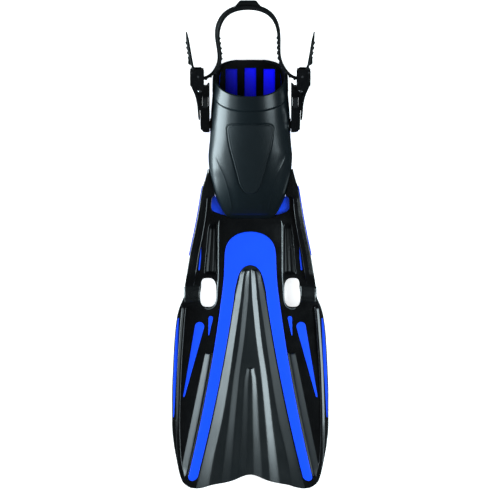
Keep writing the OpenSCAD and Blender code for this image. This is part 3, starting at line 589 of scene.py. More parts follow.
def section(angle, height):
    """Share of half width, and z, round a section; flanks lie beyond 0 and 180 degrees."""
    angle = np.asarray(angle, float)
    turn = np.radians(np.clip(angle, 0, 180))
    down = np.where(angle < 0, -angle / 30.0, np.where(angle > 180, (angle - 180) / 30.0, 0.0))
    x = np.where(down > 0, (1 - 0.1 * down**2) * np.where(angle < 90, 1, -1),
                 np.sign(np.cos(turn)) * np.abs(np.cos(turn)) ** ARC_POWER)
    z = np.where(down > 0, SPRING_Z + (BED_Z - SPRING_Z) * down,
                 SPRING_Z + (height - SPRING_Z) * np.abs(np.sin(turn)) ** ARC_POWER)
    return x, z


def vault(station, angle, inset=0.0):
    """Points of the vault; station runs from 0 at the rim to 1 at the toe."""
    station, angle = np.broadcast_arrays(np.asarray(station, float), np.asarray(angle, float))
    base_y = HEEL_Y + (TOE_Y + inset - HEEL_Y) * station
    top_y = RIM_Y + (TOE_Y + inset - RIM_Y) * station
    height = top_height(top_y) - inset
    x, z = section(angle, height)
    y = base_y + (top_y - base_y) * ((z - BED_Z) / (height - BED_Z))
    width = np.maximum(half_width(y) - inset, 2)
    return np.stack([width * x, y, z], -1)


def roll_toe(points):
    """Lower the cap over its last 9 mm."""
    share = smoothstep(points[..., 1], TOE_Y + 9, TOE_Y)
    points = points.copy()
    points[..., 2] = BED_Z + (points[..., 2] - BED_Z) * (1 - 0.15 * share * share)
    return points


def vault_above(x, y):
    """The vault's upper surface above plan points."""
    angle = np.degrees(np.arccos(np.clip(np.abs(x) / half_width(y), 0, 1) ** (1 / ARC_POWER)))
    angle = np.where(x < 0, 180 - angle, angle)
    station = (RIM_Y - y) / (RIM_Y - TOE_Y)
    for _ in range(8):
        height = top_height(RIM_Y + (TOE_Y - RIM_Y) * station)
        _, z = section(angle, height)
        lean = (HEEL_Y - RIM_Y) * ((z - BED_Z) / (height - BED_Z))
        station = (HEEL_Y - lean - y) / ((HEEL_Y - TOE_Y) - lean)
    return vault(station, angle)


# Shield on the instep
SHIELD_HEEL_END = 6.5
SHIELD_TOE_END = -92.5
# y, half width
SHIELD_HALF_WIDTH = pchip([
    [SHIELD_TOE_END, 0], [-91.6, 4.5], [-89.5, 8.2], [-86, 11.2], [-79, 15.2], [-63, 19.6],
    [-47, 23.8], [-23, 30.0], [-6, 32.6], [1, 32.9], [3.6, 31.6], [5.4, 28.4], [6.2, 24],
    [SHIELD_HEEL_END, 0]])
shield_y = chain(SHIELD_HEEL_END, (3, 20), (-85, 60), (SHIELD_TOE_END, 26))
SHIELD = both_sides(np.stack([SHIELD_HALF_WIDTH(shield_y), shield_y], 1))
SHIELD_CLOSED = np.vstack([SHIELD, SHIELD[:1]])
# Right crease, x and y, where the flank meets the flatter toe cap
CREASE = catmull_rom([[50.5, -38], [45.5, -50], [38.0, -66], [32.2, -84], [28.6, -100],
                      [26.3, -113]], 8)


def relief(points, station):
    """Height of the moulded detail over the plain vault."""
    plan = points[..., :2].reshape(-1, 2)
    y = plan[:, 1]
    station = np.broadcast_to(station, points.shape[:-1]).ravel()
    on_top = smoothstep(points[..., 2].ravel(), SPRING_Z - 4, SPRING_Z + 4)
    # collar band and its seam
    height = 0.85 * (1 - smoothstep(station, 0.107, 0.116))
    height -= 0.55 * bell(station - 0.118, 0.0032)
    # groove round the shield
    height -= 0.75 * bell(distance_to_line(plan, SHIELD_CLOSED), 0.95) * on_top
    # creases: a fine raised line with a shallow hollow on its inner side
    hollow_ends = smoothstep(y, -30, -48) * smoothstep(y, -125, -110)
    for _, sign in SIDES:
        crease = CREASE * [sign, 1]
        crease_x = np.interp(y, crease[::-1, 1], crease[::-1, 0])
        outward = (plan[:, 0] - crease_x) * sign
        line = bell(distance_to_line(plan, crease), 0.6)
        height += 0.52 * line * on_top * smoothstep(y, -34, -44)
        height -= 0.30 * bell(outward + 4.6, 4.2) * hollow_ends * on_top
    return height.reshape(points.shape[:-1])


def pocket_lip(outer_rim, inner_rim, angles):
    """Rows of the rolled lip between the outer skin and the lining."""
    middle = (outer_rim + inner_rim) / 2
    half = (outer_rim - inner_rim) / 2
    outward = vault(0.0, angles) - vault(0.012, angles)
    outward /= np.linalg.norm(outward, axis=1, keepdims=True)
    radius = np.linalg.norm(half, axis=1, keepdims=True)
    turns = np.radians(np.linspace(0, 180, 12)[1:-1])
    return np.array([middle + half * math.cos(turn) + outward * radius * 0.8 * math.sin(turn)
                     for turn in turns])


def pocket_solid():
    """Outer skin from the toe to the rim, lip, and lining back to the toe, closed below."""
    angles = np.linspace(-30, 210, 240)
    stations = chain(0, (0.14, 46), (0.95, 144), (1.0, 21))[:, None]
    outside = roll_toe(vault(stations, angles[None, :]))
    normal = surface_normals(outside, 10, len(angles) // 2)
    outside = outside + normal * relief(outside, stations)[..., None]
    # the toe closes with a short wall down to the bed
    toe_wall = []
    for share in (0.86, 0.6, 0.3, 0.02):
        row = outside[-1].copy()
        row[:, 2] = BED_Z + (row[:, 2] - BED_Z) * share
        row[:, 0] *= 0.35 + 0.65 * share
        row[:, 1] = TOE_Y - 0.15 * (1 - share)
        toe_wall.append(row)
    inside = vault(np.linspace(0, 0.97, 70)[:, None], angles[None, :], LINING_INSET)
    lip = pocket_lip(outside[0], inside[0], angles)
    outer = np.concatenate([outside, np.array(toe_wall)], 0)
    skin = np.concatenate([outer[::-1], lip, inside], 0)

    rows, cols, _ = skin.shape
    faces = grid_faces(rows, cols)
    last = (rows - 1) * cols
    start_cap = rows * cols
    verts = np.vstack([skin.reshape(-1, 3), skin[0].mean(0), skin[-1].mean(0)])
    faces += [(start_cap, j + 1, j) for j in range(cols - 1)]
    faces += [(start_cap + 1, last + j, last + j + 1) for j in range(cols - 1)]
    # base: each outer row joins the lining row beside it
    lining_row = len(outer) + len(lip)
    for col in (0, cols - 1):
        strip = []
        for i in range(len(outer)):
            gap = np.abs(skin[lining_row:, col, 1] - skin[i, col, 1])
            strip.append((i * cols + col, (lining_row + int(np.argmin(gap))) * cols + col))
        for (out_a, in_a), (out_b, in_b) in zip(strip[:-1], strip[1:]):
            faces.append((out_a, out_b, in_b, in_a) if in_a != in_b else (out_a, out_b, in_a))
    return verts, faces


pocket = make_object("foot_pocket_skin", pocket_solid(), POCKET, 50)
pocket.data.materials.append(LINING)
# faces that look towards the inside take the matt lining
for face in pocket.data.polygons:
    centre = np.array(face.center) * 1000
    inside_point = np.array([0, centre[1] + 10, SPRING_Z - 4])
    looks_in = (centre - inside_point) @ np.array(face.normal) < -1.0
    if looks_in and centre[2] > BED_Z + 0.5 and TOE_Y + 1.5 < centre[1] < 99:
        face.material_index = 1
register(pocket, "foot_section", "pocket_rubber", "foot_pocket")


def heel_rim_solid():
    """Rolled edge round the heel end of the sole plate."""
    inset, half_roll, centre_z, half_height = 4.2, 4.4, 9.2, 3.0
    heel_y = chain(20, (78, 34), (96, 26), (100.2, 26))
    x = half_width(heel_y)
    line = np.concatenate([np.stack([x, heel_y], 1),
                           [[x[-1] * 0.66, 100.5], [x[-1] * 0.33, 100.6], [0.0, 100.6]]])
    line = np.concatenate([line, (line[:-1] * [-1, 1])[::-1]])
    line = resample(line, 220)
    tangent = np.gradient(line, axis=0)
    tangent /= np.linalg.norm(tangent, axis=1, keepdims=True)
    inward = np.stack([-tangent[:, 1], tangent[:, 0]], 1)
    rings = []
    for i in range(len(line)):
        # the ends round off over nine rows
        full = min(1.0, min(i, len(line) - 1 - i) / 9.0)
        full = math.sqrt(1 - (1 - full) ** 2)
        ring = []
        for turn in np.linspace(0, 2 * math.pi, 20, endpoint=False):
            offset = inset + half_roll * math.cos(turn) * (0.25 + 0.75 * full)
            x, y = line[i] + inward[i] * offset
            ring.append((x, y, centre_z + half_height * math.sin(turn) * (0.2 + 0.8 * full)))
        rings.append(ring)
    return ring_solid(rings)


register(make_object("heel_rim_roll", heel_rim_solid(), POCKET, 60),
         "foot_section", "pocket_rubber")


def shield_solid():
    rows, cols = 120, 56
    spread = 0.5 - 0.5 * np.cos(np.linspace(0.06, math.pi - 0.06, rows))
    row_y = SHIELD_HEEL_END - (SHIELD_HEEL_END - SHIELD_TOE_END) * spread
    across = np.sin(np.linspace(-math.pi / 2, math.pi / 2, cols))
    x = (SHIELD_HALF_WIDTH(row_y) - 0.55)[:, None] * across[None, :]
    y = np.repeat(row_y[:, None], cols, 1)
    base = vault_above(x, y)
    normal = surface_normals(base, rows // 2, cols // 2)
    to_edge = distance_to_line(np.stack([x.ravel(), y.ravel()], 1), SHIELD_CLOSED)
    to_edge = to_edge.reshape(x.shape)
    # rounded edge, then a fine groove inside it
    inward = np.clip((to_edge - 0.5) / 1.3, 0, 1)
    rise = -0.5 + 1.55 * np.sqrt(np.clip(1 - (1 - inward) ** 2, 0, 1))
    rise -= 0.16 * bell(to_edge - 3.4, 0.45)
    return sheet_solid(base + normal * rise[..., None], base - normal * 0.9)


register(make_object("instep_panel_skin", shield_solid(), PANEL, 60),
         "foot_section", "panel_rubber", "instep_panel")

# Outlines shared by the parts in the blade plane
PLATE_TOP = 1.5       # top of the frame plate; its underside lies at -PLATE_TOP
MEMBRANE = 1.8        # thickness of the channels
TAIL_INSET = 0.3      # gap from the tail's outline to the centre channel's end
# reach, x of the arch's inner edge
ARCH_INNER_X = pchip([
    [-40, 0.0], [-39.6, 3.2], [-38.4, 6.6], [-36, 10.3], [-31, 14.2], [-24, 17.2], [-14, 19.9],
    [-6.4, 21.5], [0, 22.6], [9, 23.5]])
# y, outer x and width of the side rails
SIDE_RAIL_X = pchip([
    [0, 95], [13, 93.2], [36, 89.4], [59, 85.6], [81, 80.8], [104, 76.2], [127, 72.2],
    [150, 68.6], [161.5, 64.8], [178, 60.6]])
SIDE_RAIL_WIDTH = pchip([[0, 13], [60, 13], [104, 12], [140, 9.5], [165, 5.5], [178, 0.9]])
# reach, x of the blade's outer edge
BLADE_EDGE_X = pchip([
    [9, 97], [21.5, 101.6], [33, 104.6], [56, 107.6], [101, 110.4], [147, 112], [190, 112],
    [216, 109.6], [239, 105.6], [262, 100.6], [272, 96.5], [277, 91]])
# x, reach of the scalloped tail
TAIL_REACH = pchip([
    [0, 261], [4, 261.4], [10, 263.2], [22, 268.6], [36, 272.8], [55, 276.4], [66, 279.6],
    [76, 281], [85, 280], [91, 277]])
# reach, centre x of the blade rails
BLADE_RAIL_X = pchip([
    [9, 92.4], [20, 94.6], [60, 98.2], [120, 101.8], [190, 103.6], [216, 103], [240, 101.4],
    [258, 98.0]])


def spine_centre(reach):
    return 31.2 + 0.137 * reach + 0.00021 * reach * reach


def spine_half(reach):
    return 9.0 - 0.0085 * reach


def centre_edge(reach):
    """Half width of the centre channel, which tucks a little under the arch."""
    reach = np.asarray(reach, float)
    inner = np.where(reach < 9, ARCH_INNER_X(reach), spine_centre(reach) - spine_half(reach))
    return inner - 1.25 * smoothstep(reach, -39, -32)


def outer_channel_inner(reach):
    return spine_centre(reach) + spine_half(reach) + 1.3


def outer_channel_outer(reach):
    reach = np.asarray(reach, float)
    return np.minimum(64.2 + (reach - 84.5) * 0.208, BLADE_EDGE_X(reach) - 3.4)


# Centre channel: fold lines on each side, from a wall at the edge to a ridge in the middle.
# Each table is (reach, x). The root runs up to ROOT_END.
ROOT_END = 10
ROOT_WALL_TOP = pchip([[-40, 0.9], [-34, 12.6], [-20, 15.6], [0, 20.4], [10, 22.7]])
# (largest share of the half width, line in the root, line beyond the root)
MIDDLE_FOLDS = (
    # wall foot
    (0.62, pchip([[-40, 0.7], [-34, 8.8], [-20, 10.4], [10, 13.8]]),
     pchip([[10, 13.8], [67, 22.4], [124, 30.6], [182, 40.2], [232, 51.4], [282, 60]])),
    # slope foot
    (0.42, pchip([[-40, 0.6], [-34, 6.0], [-20, 7.6], [10, 9.9]]),
     pchip([[10, 9.9], [67, 15.7], [124, 24.3], [182, 31], [232, 37.4], [282, 43.5]])),
    # slope top
    (0.2, pchip([[-40, 0.4], [-34, 1.2], [-20, 1.7], [10, 3.0]]),
     pchip([[10, 3.0], [67, 8.7], [124, 16.1], [182, 21.5], [232, 25.2], [282, 29]])),
)
# (share of the slope top's x in the root, line beyond the root)
RIDGE_FOLDS = (
    # ridge foot
    (0.56, pchip([[10, 1.8], [111, 5.6], [124, 8.4], [182, 12.0], [232, 15.2], [282, 18]])),
    # ridge top
    (0.28, pchip([[10, 0.9], [111, 1.4], [124, 2.4], [182, 3.2], [232, 4.2], [282, 5.0]])),
)
# reach, depth of the channel's floor
FLOOR_DEPTH = pchip([[-31, 3.1], [9, 3.2], [67, 4.3], [110, 5.2], [150, 5.6], [200, 5.4],
                     [262, 4.4], [285, 3.9]])


def fold_lines(reach):
    """x of the edge and the six fold lines, from the edge to the middle."""
    reach = np.asarray(reach, float)
    edge = centre_edge(reach)
    beyond = np.maximum(reach, ROOT_END)
    root = reach < ROOT_END
    limit = np.maximum(edge, 0.3)
    folds = [edge, np.where(root, np.minimum(ROOT_WALL_TOP(reach), limit * 0.97), edge - 0.3)]
    for share, in_root, in_blade in MIDDLE_FOLDS:
        folds.append(np.where(root, np.minimum(in_root(reach), limit * share), in_blade(beyond)))
    slope_top = folds[-1]
    for share, in_blade in RIDGE_FOLDS:
        folds.append(np.where(root, slope_top * share, in_blade(beyond)))
    return folds


def fold_marks(reach):
    """The middle, the fold lines and the edge at one reach, going outwards."""
    return [0.0] + [float(fold) for fold in fold_lines(reach)[::-1]]


def tip_fade(reach):
    """Depths shrink gently beyond reach 200."""
    return np.minimum(1, 1 - (reach - 200) / 330)


def membrane_height(x, reach):
    """Height of the pleated membrane, averaged over nearby x to round its folds."""
    edge, wall_top, wall_foot, slope_foot, slope_top, ridge_foot, ridge_top = fold_lines(reach)
    reach = np.asarray(reach, float)
    deep = FLOOR_DEPTH(np.clip(reach, -31, 285)) * smoothstep(reach, -34.5, -31)
    middle = 2.1 * smoothstep(reach, 15.0, 108.0) * tip_fade(reach)
    ridge = middle * smoothstep(reach, 106.5, 109.5)
    rounding = np.clip(0.35 + reach * 0.006, 0.45, 1.5)
    offsets = (-1.0, -0.6, -0.25, 0.0, 0.25, 0.6, 1.0)
    total = 0
    for offset in offsets:
        out = np.minimum(np.abs(x + offset * rounding), edge)
        wall = np.clip((wall_top - out) / np.maximum(wall_top - wall_foot, 1e-6), 0, 1)
        slope = (out - slope_top) / np.maximum(slope_foot - slope_top, 1e-6)
        climb = (ridge_foot - out) / np.maximum(ridge_foot - ridge_top, 1e-6)
        z = np.where(out >= wall_foot, PLATE_TOP - deep * wall, PLATE_TOP - deep)
        z = np.where(out < slope_foot, PLATE_TOP - middle - (deep - middle) * slope, z)
        z = np.where(out < slope_top, PLATE_TOP - middle, z)
        z = np.where(out < ridge_foot, PLATE_TOP - middle + ridge * climb, z)
        z = np.where(out < ridge_top, PLATE_TOP - middle + ridge, z)
        total = total + z
    return total / len(offsets)


def columns(marks):
    """x of the mesh columns, gathered at the fold lines so that each crease is an edge loop."""
    out = []
    for start, end in zip(marks[:-1], marks[1:]):
        near = min(1.1, (end - start) * 0.3)
        out += [start, start + near * 0.45, start + near]
        out += list(np.linspace(start + near, end - near, 5)[1:-1])
        out += [end - near, end - near * 0.45]
    out.append(marks[-1])
    out = np.array(out)
    return np.concatenate([-out[::-1], out[1:]])


def centre_channel_solid():
    first = -39.7 + 4.7 * np.linspace(0, 1, 7) ** 1.6
    rest = chain(-35.0, (-30.5, 10), (60, 42), (105.5, 14), (110.5, 11), (128, 6), (262, 46))
    rows = np.concatenate([first, rest[1:]])
    lean_start, lean_end = 120, rows[-1]
    top = []
    for row in rows:
        marks = fold_marks(row)
        x = columns(marks)
        # late rows lean onto the scalloped tail, each column on its own fold line
        tail_x = x * (centre_edge(275.0) / max(centre_edge(row), 1e-6))
        lean = TAIL_REACH(np.abs(tail_x)) - TAIL_INSET - lean_end
        reach = row + lean * max(0.0, (row - lean_start) / (lean_end - lean_start))
        x = np.array([(1 if x[i] >= 0 else -1)
                      * float(np.interp(abs(x[i]), marks, fold_marks(reach[i])))
                      for i in range(len(x))])
        top.append(np.stack([x, -reach, membrane_height(x, reach)], -1))
    return blade_sheet(np.array(top), MEMBRANE)


register(make_object("center_channel_skin", centre_channel_solid(), CHANNEL, 35),
         "pivot", "channel_rubber", "center_channel")

# Outer channels: mesh columns as shares of the width, from the inner edge to the outer
OUTER_CHANNEL_SHARES = np.array([
    0, 0.01, 0.025, 0.045, 0.07, 0.10, 0.13, 0.16, 0.19, 0.22, 0.26, 0.34, 0.44, 0.54, 0.64,
    0.74, 0.82, 0.88, 0.91, 0.94, 0.96, 0.98, 1.0])


def outer_channel_height(share, reach):
    """Steep wall on the inner side, slope up to the outer side, with rounded folds."""
    deep = 4.3 * smoothstep(reach, 84.8, 88) * tip_fade(reach)
    offsets = (-0.06, -0.03, 0, 0.03, 0.06)
    total = 0
    for offset in offsets:
        at = np.clip(share + offset, 0, 1)
        total = total + np.interp(at, [0, 0.08, 0.16, 0.97, 1.0], [0, 1, 1, 0, 0])
    return PLATE_TOP - deep * total / len(offsets)


for side, sign in SIDES:
    reach, share = np.meshgrid(chain(84.8, (92, 12), (264, 60)), OUTER_CHANNEL_SHARES,
                               indexing="ij")
    inner_x = outer_channel_inner(reach) - 0.15
    x = inner_x + (outer_channel_outer(reach) - inner_x) * share
    top = np.stack([x, -reach, outer_channel_height(share, reach)], -1)
    register(make_object(f"outer_channel_{side}_skin", blade_sheet(top, MEMBRANE, sign),
                         CHANNEL, 35),
             "blade", "channel_rubber", f"outer_channel_{side}")

# Blue arch and its two legs, one strip. Outlines of the arch's right half, x and y
ARCH_OUTER = [[0, 88], [9, 87.2], [18, 84.4], [26, 79.4], [31.5, 73], [35, 65], [36.6, 54],
              [37, 42], [37.6, 28], [38.6, 14], [39.8, 3], [41.4, -9]]
ARCH_INNER = [[0, 40], [3.2, 39.6], [6.6, 38.4], [10.3, 36], [14.2, 31], [17.2, 24],
              [19.9, 14], [21.5, 6.4], [22.6, 0], [23.5, -9]]
ARCH_STATIONS = 90
LEG_START, LEG_END = 9, 263     # reach
STRIP_TOP, STRIP_BOTTOM = 3.2, -0.6
STRIP_RADIUS = 1.1
STRIP_EDGE_STEPS = np.array([0.0, 0.12, 0.35, 0.7, 1.1])


def strip_ring(outer, inner):
    """Section of the strip between two plan points, with rounded upper edges and a crown."""
    width = np.linalg.norm(outer - inner)
    radius = min(STRIP_RADIUS, width * 0.45)
    steps = STRIP_EDGE_STEPS * (radius / STRIP_RADIUS)
    run = max(width, 1e-6)

    def edge_z(step):
        short = radius - min(step, radius)
        return STRIP_TOP - radius + math.sqrt(max(radius * radius - short**2, 0))

    ring = [(*(inner + (outer - inner) * step / run), edge_z(step)) for step in steps]
    for share in np.linspace(0, 1, 9)[1:-1]:
        step = steps[-1] + (width - 2 * steps[-1]) * share
        crown = 0.25 * math.sin(math.pi * share) * min(1, width / 18)
        ring.append((*(inner + (outer - inner) * step / run), STRIP_TOP + crown))
    ring += [(*(outer + (inner - outer) * step / run), edge_z(step)) for step in steps[::-1]]
    return ring + [(*outer, STRIP_BOTTOM), (*inner, STRIP_BOTTOM)]


def strip_edge(arch, sign):
    """Right half of one long edge: arch, leg and rounded end; sign +1 is the outer edge."""
    leg = np.linspace(LEG_START, LEG_END, ARCH_STATIONS)[1:]
    turn = np.radians(np.linspace(0, 88, 12)[1:])
    end_half = spine_half(float(LEG_END))
    end_reach = LEG_END + end_half * np.sin(turn)
    return np.vstack([
        resample(catmull_rom(arch, 10), ARCH_STATIONS),
        np.stack([spine_centre(leg) + sign * spine_half(leg), -leg], 1),
        np.stack([spine_centre(end_reach) + sign * end_half * np.cos(turn), -end_reach], 1)])


right = np.array([strip_ring(outer, inner) for outer, inner in
                  zip(strip_edge(ARCH_OUTER, 1), strip_edge(ARCH_INNER, -1))])
left = right * [-1, 1, 1]
strip = ring_solid(from_blade(np.concatenate([left[::-1], right[1:]], 0)))
register(make_object("arch_and_spines", strip, BLUE, 40),
         "pivot", "blue_plastic", "arch_panel", "spine_left", "spine_right")

# Black frame: throat and blade, one plate across the pivot
# x, y of the right trough's opening beside the arch
TROUGH_LOOP = catmull_rom([
    (47.6, 95), (49.4, 98.6), (52.6, 100.2), (56.0, 99.4), (58.6, 96), (60.4, 85), (62.6, 60),
    (65.0, 34), (65.2, 29), (63, 26.4), (57, 25.8), (50.4, 25.8), (47.8, 27.4), (47.2, 33),
    (47.2, 60), (47.4, 85), (47.6, 95)], 4)[:-1]
# x, y of the right half of the frame's throat end
THROAT_EDGE = [
    (0, 106.8), (24, 106.8), (28.6, 107.5), (36.8, 111.3), (45, 113.9), (51.5, 116.4),
    (54.2, 118.4), (55.4, 121.2), (55.8, 126), (55.2, 131.5), (54.6, 136), (50.6, 139.6),
    (51.6, 147), (54, 153)]
PIVOT_EDGE = [(92.0, 9), (93.4, 3), (94.2, -2), (95.2, -6)]
BLADE_EDGE_REACHES = (
    9.5, 13, 17, 21, 26, 32, 39, 47, 56, 67, 78, 90, 101, 112, 124, 136, 147, 160, 174, 190,
    203, 212, 220, 228, 236, 244, 252, 259, 265, 269, 272, 274.5, 276.2)
TAIL_XS = (90, 87.5, 85, 82, 79, 76, 73, 69.5, 66, 62, 58.5, 55, 51, 47, 43, 39.5, 36, 32, 28,
           25, 22, 19, 16, 13, 10, 7.5, 5, 2.5, 0)


def hole_loop():
    """Right oval hole: nearly straight on its outer side, bulged on its inner side."""
    turn = np.linspace(0, 2 * math.pi, 72, endpoint=False)
    cos, sin = np.cos(turn), np.sin(turn)
    centre_x, centre_y, half_length = 60.6, 0.8, 20.6
    y = centre_y + half_length * np.sign(sin) * np.abs(sin) ** 0.62
    pinch = 1.4 * bell(y - 9, 7.0)
    x = np.where(cos >= 0, centre_x + 11.0 * np.abs(cos) ** 0.55 - pinch,
                 centre_x - 12.0 * np.abs(cos) ** 0.72)
    return np.stack([x, y], 1)


def outer_channel_loop():
    """Opening over the right outer channel."""
    reaches = np.linspace(86.3, 262.8, 50)
    return ([(float(outer_channel_inner(reach)) + 0.2, -reach) for reach in reaches]
            + [(float(outer_channel_outer(reach)) - 0.6, -reach) for reach in reaches[::-1]])


def frame_loops():
    edge = THROAT_EDGE + [(float(SIDE_RAIL_X(y)) - 4.0, y) for y in np.linspace(153, 12, 40)]
    edge += PIVOT_EDGE
    edge += [(float(BLADE_EDGE_X(reach)) - 0.6 * float(smoothstep(reach, 20, 9)), -reach)
             for reach in BLADE_EDGE_REACHES]
    edge += [(x, -float(TAIL_REACH(x))) for x in TAIL_XS]
    window = [(max(float(centre_edge(reach)) - 0.7, 0.02), -reach)
              for reach in chain(-39.4, (-30, 10), (20, 20), (272, 46))]
    window += [(x, -(float(TAIL_REACH(x)) - 1.5))
               for x in np.linspace(float(centre_edge(274)) - 1.5, 0.0, 30)]
    loops = [both_sides(edge), both_sides(window)]
    for _, sign in SIDES:
        loops += [side_loop(loop, sign)
                  for loop in (hole_loop(), outer_channel_loop(), TROUGH_LOOP[::-1])]
    return loops


def follow_pleats(points):
    """Blade plane to row frame; the thin bead along the tail dips with the pleats it closes."""
    points = np.array(points, float)
    x, reach = points[..., 0], -points[..., 1]
    on_bead = (reach > 257) & (np.abs(x) < centre_edge(reach) + 0.2)
    dip = membrane_height(x, np.clip(reach, 10, 282)) - PLATE_TOP
    points[..., 2] += np.where(on_bead, dip, 0.0)
    return from_blade(points)


# close cuts round the pivot, a few along it, and one at the tail's bead
frame_cuts = [*np.arange(-26, 27, 2.0), 60, 100, -60, -100, -150, -200, -240, -257.5]
register(make_plate("frame_skin", frame_loops(), -PLATE_TOP, PLATE_TOP, 0.55, FRAME,
                    cuts=frame_cuts, to_row=follow_pleats, segments=2),
         "pivot", "frame_rubber", "throat_plate", "blade_frame")

# Troughs beside the arch: a wide hollow with a soft ridge near its inner side. y, x
TROUGH_INNER_X = pchip([[24.5, 46.6], [60, 46.6], [102, 47.0]])
TROUGH_OUTER_X = pchip([[24.5, 66.2], [34, 65.8], [60, 63.4], [85, 61.0], [102, 59.6]])
for side, sign in SIDES:
    y, share = np.meshgrid(chain(101.4, (88, 20), (38, 24), (24.6, 16)), np.linspace(0, 1, 49),
                           indexing="ij")
    x = TROUGH_INNER_X(y) + (TROUGH_OUTER_X(y) - TROUGH_INNER_X(y)) * share
    ends = smoothstep(y, 101.2, 90) * smoothstep(y, 24.8, 31)
    bowl = 1 - np.abs(2 * share - 1) ** 2.6
    ridge = 0.26 * bell(share - 0.42, 0.10)
    z = PLATE_TOP - 0.35 - 5.2 * np.clip(bowl - ridge, 0, 1) * ends
    trough = blade_sheet(np.stack([x, y, z], -1), 1.6, sign)
    # the troughs' material carries painted shade
    register(make_object(f"throat_trough_{side}", trough, TROUGH_SHADED_RUBBER, 40),
             "foot_section", "frame_rubber")

# Raised bead beside the arch, round the inner side of each hole. x, y
BEAD_LINE = catmull_rom([
    [44.0, 104], [45.4, 97], [45.5, 84], [45.6, 60], [45.6, 36], [45.8, 22], [46.8, 10],
    [47.3, 0], [47.9, -9], [50.6, -17.6], [56, -22.0], [61, -22.8], [66, -21.2]], 9)


def tube(path, radii):
    """Ten-sided tube along a path, with a radius for each of its points."""
    turn = np.linspace(0, 2 * math.pi, 10, endpoint=False)
    rings = []
    for i in range(len(path)):
        along = path[min(i + 1, len(path) - 1)] - path[max(i - 1, 0)]
        along /= np.linalg.norm(along)
        across = np.cross(along, [0, 0, 1.0])
        across /= max(np.linalg.norm(across), 1e-9)
        upward = np.cross(across, along)
        round_ = np.cos(turn)[:, None] * across + np.sin(turn)[:, None] * upward
        rings.append(path[i] + radii[i] * round_)
    return ring_solid(rings)


for side, sign in SIDES:
    count = len(BEAD_LINE)
    path = np.column_stack([BEAD_LINE * [sign, 1], np.full(count, PLATE_TOP + 0.25)])
    to_end = np.minimum(np.arange(count), np.arange(count)[::-1])
    radii = 0.8 * np.minimum(1, to_end / 8 + 0.15)
    # the bead's light colour is a painted highlight
    register(make_object(f"throat_bead_{side}", tube(from_blade(path), radii), BEAD_PAINTED_HIGHLIGHT, 60),
             "pivot", "frame_rubber")


# Rails
def rail_ring(inner, outer, bottom, top, radius, dish, slope, share):
    """Closed section with rounded corners; the outer share of the top falls by slope."""
    outer_top = max(top - slope, bottom + 0.6)
    radius = max(min(radius, (outer - inner) * 0.3, (outer_top - bottom) * 0.45), 0.05)

    def corner(x, z, start):
        turns = [math.radians(start + 90 * k / 5) for k in range(6)]
        return [(x + radius * math.cos(turn), z + radius * math.sin(turn)) for turn in turns]

    ring = corner(outer - radius, outer_top - radius, 0)
    knee = inner + (outer - inner) * (1 - share)
    for part in (0.3, 0.6, 0.9, 1.0):
        ring.append((outer - radius + (knee - outer + radius) * part,
                     outer_top + (top - outer_top) * part))
    for part in (0.3, 0.65):
        ring.append((knee + (inner + radius - knee) * part,
                     top - dish * math.sin(math.pi * part)))
    return (ring + corner(inner + radius, top - radius, 90)
            + corner(inner + radius, bottom + radius, 180)
            + corner(outer - radius, bottom + radius, 270))


# y, z of the side rails' top and underside
SIDE_RAIL_TOP = pchip([[8, 7.4], [20, 8.4], [40, 9], [110, 10], [150, 8.6], [170, 5.6],
                       [178, 3.8]])
SIDE_RAIL_BOTTOM = pchip([[8, -7.6], [40, -9], [110, -8], [150, -4], [170, 0.6], [178, 2.2]])


def side_rail_ring(y):
    outer = float(SIDE_RAIL_X(y))
    pocket_x = float(half_width(y + PIVOT[1]))
    # towards the heel the rail's inner side sinks into the pocket's flank
    sink = float(smoothstep(y, 136, 142))
    inner = max(outer - float(SIDE_RAIL_WIDTH(y)), pocket_x + 0.5)
    inner = min(inner * (1 - sink) + (pocket_x - 0.8) * sink, outer - 0.6)
    # towards the pivot it flattens
    full = float(smoothstep(y, 6, 30))
    return rail_ring(inner, outer,
                     bottom=-3.0 + (float(SIDE_RAIL_BOTTOM(y)) + 3.0) * full,
                     top=1.2 + (float(SIDE_RAIL_TOP(y)) - 1.2) * full,
                     radius=1.1, dish=0.15, slope=0.9 * full, share=0.5)


for side, sign in SIDES:
    rings = [[(x * sign, y, z) for x, z in side_rail_ring(y)]
             for y in chain(177.5, (165, 14), (26, 66), (7.5, 18))]
    register(make_object(f"side_rail_{side}_skin", ring_solid(from_blade(rings)), FRAME, 42),
             "foot_section", "frame_rubber", f"side_rail_{side}")

# reach, z of the blade rails' top
BLADE_RAIL_TOP = pchip([[14, 5.4], [24, 7.6], [60, 7.8], [140, 5.2], [200, 3.2], [240, 2.5],
                        [262, 2.0]])
BLADE_RAIL_HALF_WIDTH = 3.0
FLOOR_REACH = 225     # the blade rails' underside follows the floor from here


def floor_z(reach):
    """Height of the floor in the blade plane."""
    return -(PIVOT[2] - reach * math.sin(BLADE_SLOPE)) / math.cos(BLADE_SLOPE)


